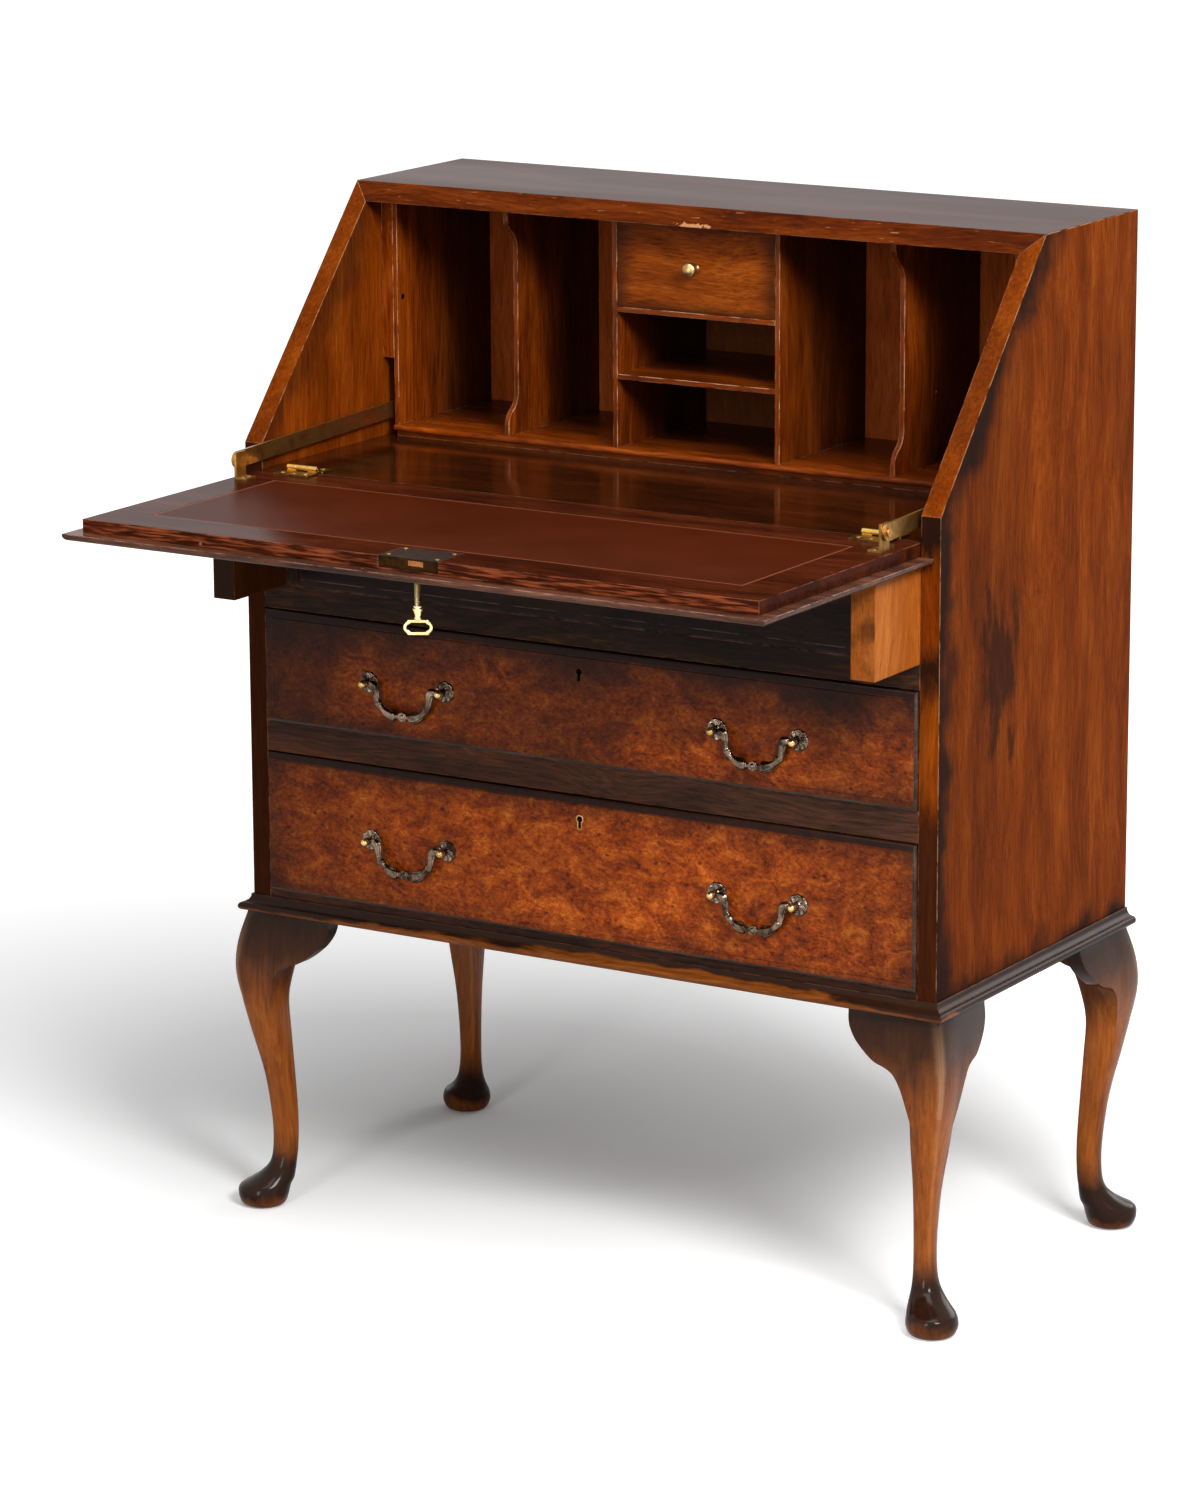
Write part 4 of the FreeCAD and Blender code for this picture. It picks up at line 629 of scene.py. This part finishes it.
def slotted_screw(mesh, spot, radius, turned=Matrix.Identity(4)):
    """Adds a countersunk head: a disc with two half rounds on it and a slot between them."""
    place = Matrix.Translation(spot) @ turned
    turn_on_lathe(mesh, [(radius, -0.4), (radius, 0.15), (radius * 0.9, 0.2)], place, 20)
    gap = 0.16 * radius
    swing = acos(gap / radius)
    for way in (1, -1):
        rings = []
        for size, height in ((0.94, 0.2), (0.94, 0.4), (0.8, 0.55)):
            ring = []
            for step in range(9):
                angle = swing * (step / 4 - 1)
                point = Vector((way * max(size * radius * cos(angle), gap),
                                way * size * radius * sin(angle), height)) * MM
                ring.append(mesh.verts.new(place @ point))
            rings.append(ring)
        join_rings(mesh, rings)
        mesh.faces.new(rings[-1])


hinge_brass = old_brass("rubbed_hinge_brass", "#e8bc62", "#5a3a1a", 0.28, knuckle_rub)
olive_brass = old_brass("tarnished_brass", "#cc9c5c", "#946a34", 0.36)
dark_brass = old_brass("browned_lock_brass", "#432a12", "#24170a", 0.40)
steel = old_brass("blackened_steel", "#3a3430", "#1c1816", 0.40)
bolt_brass = old_brass("scraped_bolt_brass", "#c07a4a", "#6a3418", 0.35)
for metal, nodes in ((hinge_brass, ("hinge_board_leaves", "hinge_fall_leaves")),
                     (olive_brass, ("stay_bar_left", "stay_bar_right", "stay_lugs", "lower_drawer_lock",
                                    "upper_drawer_lock_bolt", "lower_drawer_lock_bolt")),
                     (dark_brass, ("upper_drawer_lock", "fall_lock")), (bolt_brass, ("fall_lock_bolt",))):
    for node in nodes:
        finish_node(node, metal)
writing_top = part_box("writing_board")[1].z
leaf_top = writing_top + 1.5 * MM
hinge_place = 316 * MM
screw_place = 15 * MM
lock_low, lock_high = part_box("fall_lock")
lug_low, lug_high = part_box("stay_lugs")
lug_middle = (lug_low.y + lug_high.y) / 2
board_screws = bmesh.new()
fall_screws = bmesh.new()
for side in (-1, 1):
    for number, across in enumerate((-13, 0, 13)):
        turned = Matrix.Rotation(0.7 + 1.3 * number + side, 4, "Z")
        x = side * hinge_place + across * MM
        slotted_screw(board_screws, (x, hinge_line + screw_place, leaf_top), 2.6, turned)
        slotted_screw(fall_screws, (x, hinge_line - screw_place, leaf_top), 2.6, turned)
for x, y in ((-26, 8), (26, 8), (-26, 36), (26, 36)):
    turned = Matrix.Rotation(0.05 * x, 4, "Z")
    slotted_screw(fall_screws, (x * MM, lock_low.y + y * MM, lock_high.z), 2.2, turned)
for side in (-1, 1):
    for y in (-4.5, 4.5):
        spot = (side * (lug_high.x - 13.2 * MM), lug_middle + y * MM, writing_top + 2 * MM)
        slotted_screw(fall_screws, spot, 2)
make_piece("hinge_board_screws", board_screws, olive_brass, "carcass", smooth=False)
make_piece("fall_screws", fall_screws, olive_brass, "fall", smooth=False)
panel_low, panel_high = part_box("pigeonhole_ends")
panel_screw = bmesh.new()
to_right = Matrix.Rotation(pi / 2, 4, "Y")
for side, spin in ((-1, to_right), (1, Matrix.Rotation(pi, 4, "Z") @ to_right)):
    slotted_screw(panel_screw, (side * (panel_high.x - 5 * MM), panel_low.y + 9 * MM, 889 * MM), 2.8, spin)
make_piece("pigeonhole_screws", panel_screw, steel, "carcass", smooth=False)

# Lopers: two bearers that slide out under the fall, orange-brown with darkened front ends.
# Solid walnut, planed, with upright grain on the faced ends.


def loper_end(add, place):
    """The front end is stained dark in patches, and the left loper is darker all over."""
    forward = add("Math LESS_THAN", face_way(add, "Y"), -0.7)
    patch = add("TexNoise", place, Scale=1 / 0.03, Detail=4)
    kept = add("Math MULTIPLY", forward, add("ValToRGB", patch, stops=[(0.42, 0.70), (0.60, 0.22)]))
    left = add("MapRange", add("SeparateXYZ", place).outputs["X"], -0.1, 0.1, To_Min=0.84, To_Max=0)
    left = add("Math MULTIPLY", left, add("Math MULTIPLY_ADD", forward, 0.15, 1))
    return add("Math MAXIMUM", kept, left)


for node in ("loper_left", "loper_right"):
    polish(node, "Z", "#944c18 #a8581d #b46222 #c47230", smoke=0.1, roughness=0.38, shade=loper_end,
           rubbed=0.6)

# Long drawers: burr walnut veneer on the fronts, toned to near black at the borders.
# The burr is a cloud of tight curls and eyes under clear polish. The veneered field stands a little
# above a worn bevel, and the linings are plain wood.


def burr_walnut(name, low, high, smoke, fade):
    """Burr veneer: mottled curls and dark eyes, a dark border, and a painted shadow along the top edge."""
    material, add, place = new_material(name)
    lain = add("Mapping", place, Scale=(0.8, 1, 1.15))
    curl = add("TexNoise", lain, Scale=1 / 0.026, Detail=10, Roughness=0.72, Distortion=1)
    fleck = add("TexNoise", lain, Scale=1 / (3.4 * MM), Detail=4, Roughness=0.65, Distortion=0.6)
    tone = add("Mix", Factor=0.40, A=curl, B=fleck)
    colour = add("ValToRGB", tone, stops=[(0.36, "#511d07"), (0.45, "#8c380e"), (0.53, "#b85216"),
                                          (0.64, "#e8822c")])
    eyes = add("TexVoronoi", lain, Scale=1 / 0.013)
    eye = add("MapRange", eyes, 0.20, 0.08, To_Max=0.75)
    chosen = add("Math GREATER_THAN", add("SeparateXYZ", eyes.outputs["Color"]).outputs["Y"], 0.6)
    colour = add("Mix RGBA", Factor=add("Math MULTIPLY", eye, chosen), A=colour, B="#3a150a")
    cloud = add("TexNoise", lain, Scale=1 / 0.13, Detail=5, Roughness=0.55)
    haze = add("ValToRGB", cloud, stops=[(0.42, 0), (0.60, smoke)])
    colour = add("Mix RGBA", Factor=haze, A=colour, B="#2a150e")
    tear = ragged(add, place, 0.06, 0.36)
    spot = add("SeparateXYZ", place)
    clear = 1
    for axis, end, width, amount in fade:
        index = "XYZ".index(axis)
        edge, way = (low[index], 1) if end == "low" else (high[index], -1)
        reach = add("Math MULTIPLY", add("Math SUBTRACT", spot.outputs[axis], edge), way / width)
        reach = add("MapRange SMOOTHSTEP", add("Math ADD", reach, tear), To_Min=1 - amount)
        clear = add("Math MULTIPLY", clear, reach)
    outside = add("Math SUBTRACT", 1, clear)
    # a painted shadow lies along the top edge
    upper = add("MapRange SMOOTHSTEP", spot.outputs["Z"], high.z - 11 * MM, high.z - 6 * MM, To_Max=0.97)
    colour = add("Mix RGBA", Factor=add("Math MAXIMUM", outside, upper), A=colour, B="#19100d")
    dull = add("MapRange", cloud, To_Min=0.20, To_Max=0.34)
    rounded = add("Bevel", Radius=1.2 * MM)
    skin = add("Bump", Strength=0.08, Distance=0.3 * MM, Height=fleck, Normal=rounded)
    add("OutputMaterial", add("BsdfPrincipled", Base_Color=colour, Roughness=dull, Specular_IOR_Level=0.08,
                              Normal=skin))
    return material


edge_width = 7.5 * MM
edge_depth = 5 * MM
near_enough = 0.05 * MM
eye_drop = 22 * MM
eye_radius = 4.3 * MM
slot_half = 2.8 * MM
slot_drop = 10.3 * MM
# each fade: the axis and the end it starts from, its width in metres and how dark it gets there
# the upper drawer is darker overall and along its top: its darker finish, and partly a painted shadow from
# the fall above it
for drawer, smoke, fade in (
    ("upper_drawer", 0.64, (("X", "low", 0.06, 0.35), ("X", "low", 0.46, 0.56), ("X", "high", 0.34, 0.56),
                            ("Z", "high", 0.075, 0.82), ("Z", "low", 0.022, 0.50))),
    ("lower_drawer", 0.24, (("X", "low", 0.06, 0.50), ("X", "low", 0.19, 0.36), ("X", "high", 0.03, 0.40),
                            ("X", "high", 0.38, 0.46), ("Z", "high", 0.034, 0.60), ("Z", "low", 0.03, 0.42))),
):
    low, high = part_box(f"{drawer}_front")
    veneer = burr_walnut(f"burr_walnut_{drawer}", low, high, smoke, fade)
    highlit_edge_walnut = polished_walnut(
        f"stained_walnut_{drawer}_edge", "X", "#241a16 #34281f #44362e #58463c", smoke=0.5,
        roughness=0.22, smoke_dark="#120c0a", rub="#8a5a3c", gloss=0.14)
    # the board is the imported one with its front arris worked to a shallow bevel
    board = bmesh.new()
    packed = cad[f"{drawer}_front"]
    board.from_mesh(packed.data)
    board.transform(packed.matrix_world)
    bmesh.ops.remove_doubles(board, verts=board.verts, dist=0.01 * MM)
    bmesh.ops.dissolve_limit(board, angle_limit=radians(1), verts=board.verts, edges=board.edges)
    corners = [vert for vert in board.verts
               if vert.co.y < low.y + near_enough and abs(vert.co.x) > high.x - 1 * MM]
    arrises = [edge for edge in board.edges if all(vert in corners for vert in edge.verts)]
    bmesh.ops.bevel(board, geom=arrises, offset=edge_width, segments=5, profile=0.32, affect="EDGES")
    for vert in board.verts:
        if vert.co.y < low.y + edge_width + near_enough:
            vert.co.y = low.y + (vert.co.y - low.y) * edge_depth / edge_width
    # the lower and the right edge take a paler, glossier copy of the finish, a painted highlight where light
    # catches them
    for part in board.faces:
        middle = part.calc_center_median()
        highlit_side = middle.x > high.x - edge_width or middle.z < low.z + edge_width
        part.material_index = int(highlit_side and middle.y < low.y + edge_depth + 0.1 * MM)
    piece = make_piece(f"{drawer}_moulded_front", board, veneer, drawer, crisp=30)
    piece.data.materials.append(highlit_edge_walnut)
    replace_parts(piece, f"{drawer}_front")
    # the hole clears the thread escutcheon: an eye and a straight slot below it
    eye_z = high.z - eye_drop
    hole = [(eye_radius * cos(radians(a)), eye_z + eye_radius * sin(radians(a)))
            for a in range(-50, 231, 20)]
    hole += [(-slot_half, eye_z - slot_drop), (slot_half, eye_z - slot_drop)]
    field = bmesh.new()
    raised_panel(field, low, high, ((8, 0.3), (8, -0.4), (8.5, -0.7)), hole)
    make_piece(f"{drawer}_veneer_field", field, veneer, drawer, smooth=False)
    lining = polished_walnut(f"oak_lining_{drawer}", "Y", "#6f4e30 #8c6740 #9d774d #b0895c", smoke=0.2,
                             roughness=0.55, figure=40 * MM, rubbed=0)
    finish_node(f"{drawer}_box", lining)
    finish_node(f"{drawer}_bottom", lining)

# Drop handles: cast brass gone dark bronze, with a rose, a post and a bail at each place.
# Cast in sand and chased with leaf work, then left to darken; the ball nuts are rubbed bright.
# The posts are screwed through the drawer front, and the bail turns on pegs in them.
bronze = old_brass("dark_bronze", "#8c7866", "#31261f", 0.20)
ball_brass = old_brass("rubbed_ball_brass", "#e0be80", "#a68248", 0.26)


def cast_rose(mesh, place, radius, swirl):
    """Adds a rose like a coiled shell: ribs that swirl out from the post to a rolled rim."""
    rings, steps = 16, 72
    rows = []
    for ring in range(1, rings + 1):
        share = ring / rings
        row = []
        for step in range(steps):
            angle = 2 * pi * step / steps
            rib = cos(9 * angle + swirl * 5 * share)
            height = 3 - 1.5 * share ** 2 + 0.6 * rib * sin(pi * share) ** 0.5
            height += 0.7 * exp(-((share - 0.86) / 0.07) ** 2)
            height *= 1 if ring < rings else 0
            edge = radius * share * (1 + 0.03 * rib * share)
            spot = Vector((edge * cos(angle), edge * sin(angle), height)) * MM
            row.append(mesh.verts.new(place @ spot))
        rows.append(row)
    join_rings(mesh, rows)
    mesh.faces.new(rows[0])


# each row of the bail is x, z, radius and flute depth, from the peg to the middle, in millimetres
half_bail = [(41.5, 0, 1.5, 0), (38.5, 0, 1.6, 0), (37.6, 0, 2.5, 0), (34.5, -0.2, 3.2, 0.05),
             (31.8, -1.8, 3.4, 0.12), (30.6, -6, 2.8, 0.16), (30, -11, 2.3, 0.12),
             (28.8, -15.6, 2.5, 0), (27.6, -17.8, 3.2, 0), (25.4, -20.4, 2.5, 0),
             (21.4, -23.8, 2.5, 0.1), (16.8, -26.4, 3.3, 0.2), (11.6, -27.8, 3.8, 0.22),
             (8.6, -28.1, 3.4, 0.1), (7.4, -28.1, 1.9, 0), (4, -28, 1.8, 0)]
whole_bail = half_bail + [(-x, z, radius, flute) for x, z, radius, flute in reversed(half_bail)]
bail_line = smooth_line(whole_bail, 5)
# the boss, the post and its ball are turned, in pairs of radius and height
boss = [(0.1, -2.6), (3.4, -2.6), (4.8, -1.4), (5, 0.8), (4.4, 2), (3.6, 1.5), (2.8, 1.3), (2.2, 2.2),
        (1.3, 2.9), (0.1, 3.1)]
post = [(4.6, 0.5), (4.4, 3), (3.4, 3.6), (2.8, 5), (3.2, 6.4), (3.8, 7.2), (3.8, 10.8), (3, 11.4),
        (2.2, 12.2), (2.2, 13)]
post_ball = [(0.1, 8.9), (2, 9.4), (3.3, 10.6), (3.9, 12.2), (4, 13.2), (3.7, 14.6), (2.9, 15.8),
             (1.5, 16.7), (0.1, 17)]
forward = Matrix.Rotation(pi / 2, 4, "X")
half_spread = 43.5 * MM
bail_radius = 2.8 * MM
bail_drop = 28 * MM
bail_turns = 24
rose_radius = 10.8
for drawer in ("upper_drawer", "lower_drawer"):
    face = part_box(f"{drawer}_front")[0].y
    roses = bmesh.new()
    balls = bmesh.new()
    for side in ("left", "right"):
        node = f"{drawer}_{side}_bail"
        low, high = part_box(node)
        middle = (low.x + high.x) / 2
        pivot = Vector((middle, (low.y + high.y) / 2, high.z - bail_radius))
        for way in (-1, 1):
            place = Matrix.Translation((middle + way * half_spread, face, pivot.z)) @ forward
            cast_rose(roses, place, rose_radius, way)
            turn_on_lathe(roses, post, place)
            turn_on_lathe(balls, post_ball, place)
        bar = bmesh.new()
        rings = []
        for number, (x, z, radius, flute) in enumerate(bail_line):
            before = bail_line[max(number - 1, 0)]
            after = bail_line[min(number + 1, len(bail_line) - 1)]
            ahead = Vector((after[0] - before[0], 0, after[1] - before[1])).normalized()
            outward = Vector((-ahead.z, 0, ahead.x))
            ring = []
            for step in range(bail_turns):
                angle = 2 * pi * step / bail_turns
                reach = radius * (1 + flute * cos(6 * angle))
                spot = Vector((x, 0, z)) + outward * (1.3 * reach * cos(angle))
                spot.y += reach * sin(angle)
                ring.append(bar.verts.new(pivot + spot * MM))
            rings.append(ring)
        join_rings(bar, rings)
        bar.faces.new(rings[0])
        bar.faces.new(rings[-1])
        boss_spot = Matrix.Translation(pivot - Vector((0, 0, bail_drop))) @ forward
        turn_on_lathe(bar, boss, boss_spot, 32, 8, 0.06)
        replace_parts(make_piece(f"{node}_cast", bar, bronze, node), node)
    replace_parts(make_piece(f"{drawer}_roses", roses, bronze, drawer),
                f"{drawer}_handle_fittings")
    make_piece(f"{drawer}_ball_nuts", balls, ball_brass, drawer)

# Key: cast and filed brass, with a round shank, two collars and a cusped bow, left in the fall's lock.
# It is polished bright by use, much paler than the old furniture brass.
key_brass = old_brass("bright_key_brass", "#fff0bc", "#f0d48c", 0.25)
key_low, key_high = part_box("fall_key")
key_middle = (key_low + key_high) / 2
bow_height = 17
bow_facing = Matrix.Rotation(radians(30), 3, "Z")
shank_foot = key_low.z + bow_height * MM
shank_length = (key_high.z - shank_foot) / MM
shank = [(3, -3), (3.4, -1), (2.6, 0.6), (2.8, 2.4), (4.2, 6.4), (4.7, 7.2), (4.5, 8.2), (3.4, 8.8),
         (3.4, 9.2), (4.2, 10), (3.8, 10.8), (3, 11.2), (3, shank_length - 0.5), (2.6, shank_length)]
key = bmesh.new()
turn_on_lathe(key, shank, Matrix.Translation((key_middle.x, key_middle.y, shank_foot)), 24)
# the bow is a quarter outline turned over twice, outside and inside, with eased arrises
bow_centre = Vector((key_middle.x, key_middle.y, shank_foot - 9 * MM))
outer = [(8.4, 7), (9.6, 6.6), (10, 5.4), (11.6, 4), (12.9, 2.2), (13.2, 0)]
inner = [(6.6, 4.3), (7.2, 3.2), (8.6, 2.7), (9.9, 1.7), (10.4, 0.7), (10.5, 0)]
loops = []
for outline, grow, depth in ((outer, -0.5, -1.7), (outer, 0, -1.1), (outer, 0, 1.1), (outer, -0.5, 1.7),
                             (inner, 0.5, 1.7), (inner, 0, 1.1), (inner, 0, -1.1), (inner, 0.5, -1.7)):
    quarter = [(x + grow, z + grow * (1 if z > 0 else 0)) for x, z in outline]
    ring = quarter + [(x, -z) for x, z in reversed(quarter[:-1])]
    ring += [(-x, -z) for x, z in quarter] + [(-x, z) for x, z in reversed(quarter[:-1])]
    loops.append([key.verts.new(bow_centre + bow_facing @ Vector((x, depth, z)) * MM) for x, z in ring])
join_rings(key, loops + loops[:1])
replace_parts(make_piece("fall_key_cast", key, key_brass, "key"), "fall_key")

# Small drawer: a golden-brown front with the grain from side to side, in a thin lined box.
# The knob is turned brass with a domed face on a waisted neck, screwed through the front.
small_low, small_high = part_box("small_drawer_front")
small_middle = (small_low + small_high) / 2
small_half = (small_high - small_low) / 2


def small_shade(add, place):
    """A soft dark edge round the small front."""
    away = add("VectorMath SUBTRACT", place, small_middle)
    away = add("VectorMath MULTIPLY", away, (1 / small_half.x, 0, 1 / small_half.z))
    spot = add("SeparateXYZ", add("VectorMath ABSOLUTE", away))
    far = add("Math MAXIMUM", spot.outputs["X"], spot.outputs["Z"])
    return add("MapRange SMOOTHSTEP", far, 0.72, 1, To_Max=0.7)


polish("small_drawer_front", "X", "#541f05 #7a3507 #8e410c #a8571a", smoke=0.3, roughness=0.26,
       grain=2.2 * MM, shade=small_shade, rubbed=0.4)
for node in ("small_drawer_box", "small_drawer_bottom"):
    finish_node(node, lining)
knob_low, knob_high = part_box("small_drawer_knob")
knob_spot = Vector(((knob_low.x + knob_high.x) / 2, small_low.y, (knob_low.z + knob_high.z) / 2))
knob = bmesh.new()
turn_on_lathe(knob, [(5, -0.5), (5, 0.8), (3.6, 1.4), (3, 5), (3.2, 9), (5.4, 10.6), (7.6, 11.8),
                     (8, 12.8), (7.6, 14.2), (6.4, 15.6), (4.2, 16.9), (2, 17.7), (0.1, 17.9)],
              Matrix.Translation(knob_spot) @ forward, 36)
piece = make_piece("small_drawer_turned_knob", knob, old_brass("pale_knob_brass", "#dcb27a", "#a6804e", 0.30),
                   "small_drawer")
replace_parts(piece, "small_drawer_knob")

# Studio: a white floor that runs out of sight, a key lamp from the right, a broad one overhead,
# a tall one in front and a weak one behind. The floor and the sky show white to the camera and in
# reflections, and keep the shadow; a painted glow lifts the floor to white away from it.
floor_half = 30
shadow_middle = (-0.40, 0.36, 0)
floor_mesh = bpy.data.meshes.new("studio_floor")
corners = [(x * floor_half, y * floor_half, 0) for x, y in ((-1, -1), (1, -1), (1, 1), (-1, 1))]
floor_mesh.from_pydata(corners, [], [(0, 1, 2, 3)])
floor = add_object("studio_floor", floor_mesh)
material, add, place = new_material("white_paper_floor")
rays = add("LightPath").outputs
paper = add("Mix RGBA", Factor=rays["Is Camera Ray"], A="#b4b4b4", B="#f6f6f6")
seen = add("Math MAXIMUM", rays["Is Camera Ray"], rays["Is Glossy Ray"])
# painted light: seen or mirrored, the floor glows more the farther it is from the shadow spot
away = add("MapRange", span_from(add, place, shadow_middle, (0.75, 1, 1)), From_Max=2)
lift = add("ValToRGB", away, stops=[(0.05, 0), (0.14, 0.05), (0.26, 0.28), (0.45, 0.58), (1, 0.9)])
glow = add("Emission", Strength=add("Math MULTIPLY", seen, lift))
shader = add("BsdfPrincipled", Base_Color=paper, Roughness=0.9, Specular_IOR_Level=0.1)
add("OutputMaterial", add("AddShader", shader, glow))
floor_mesh.materials.append(material)

world = bpy.data.worlds.new("white_studio")
bpy.context.scene.world = world
world.use_nodes = True
world.node_tree.nodes.clear()
add = partial(add_node, world.node_tree)
rays = add("LightPath").outputs
seen = add("Math MAXIMUM", rays["Is Camera Ray"], rays["Is Glossy Ray"])
seen = add("Math MAXIMUM", seen, rays["Is Transmission Ray"])
level = add("MapRange", seen, To_Min=0.22, To_Max=1)
add("OutputWorld", add("Background", Color=(1, 1, 1, 1), Strength=level))

for name, place, aim, size, tall, watts in (
    ("key_lamp", (2.5, -1.6, 2.7), (0, 0.1, 0.5), 1.1, 1.1, 130),
    ("overhead_lamp", (0.5, -0.8, 3.3), (0, 0, 0.5), 2, 2, 58),
    ("front_lamp", (0.3, -4.2, 1.5), (0, 0, 0.6), 0.7, 2, 45),
    ("back_lamp", (1.2, 3.6, 1.9), (0, 0.2, 0.6), 1.6, 1.6, 26),
):
    lamp_data = bpy.data.lights.new(name, "AREA")
    lamp_data.shape = "RECTANGLE"
    lamp_data.size = size
    lamp_data.size_y = tall
    lamp_data.energy = watts
    lamp = add_object(name, lamp_data)
    lamp.location = place
    lamp.rotation_euler = (Vector(aim) - Vector(place)).to_track_quat("-Z", "Y").to_euler()

# Camera: the photograph's view, from the front right and a little above.
# Its place and lens were fitted to the photograph.
azimuth = radians(31.66)
elevation = radians(13.60)
roll = radians(-0.29)
camera_place = (2.615, -4.207 + case_front, 1.712)
camera_data = bpy.data.cameras.new("photo_camera")
camera_data.sensor_width = 36
camera_data.lens = 129.7
camera_data.clip_end = 100
camera = add_object("photo_camera", camera_data)
turn = Matrix.Rotation(azimuth, 4, "Z") @ Matrix.Rotation(pi / 2 - elevation, 4, "X")
camera.matrix_world = Matrix.Translation(camera_place) @ turn @ Matrix.Rotation(roll, 4, "Z")
bpy.context.scene.camera = camera
bpy.context.scene.view_settings.view_transform = "Standard"
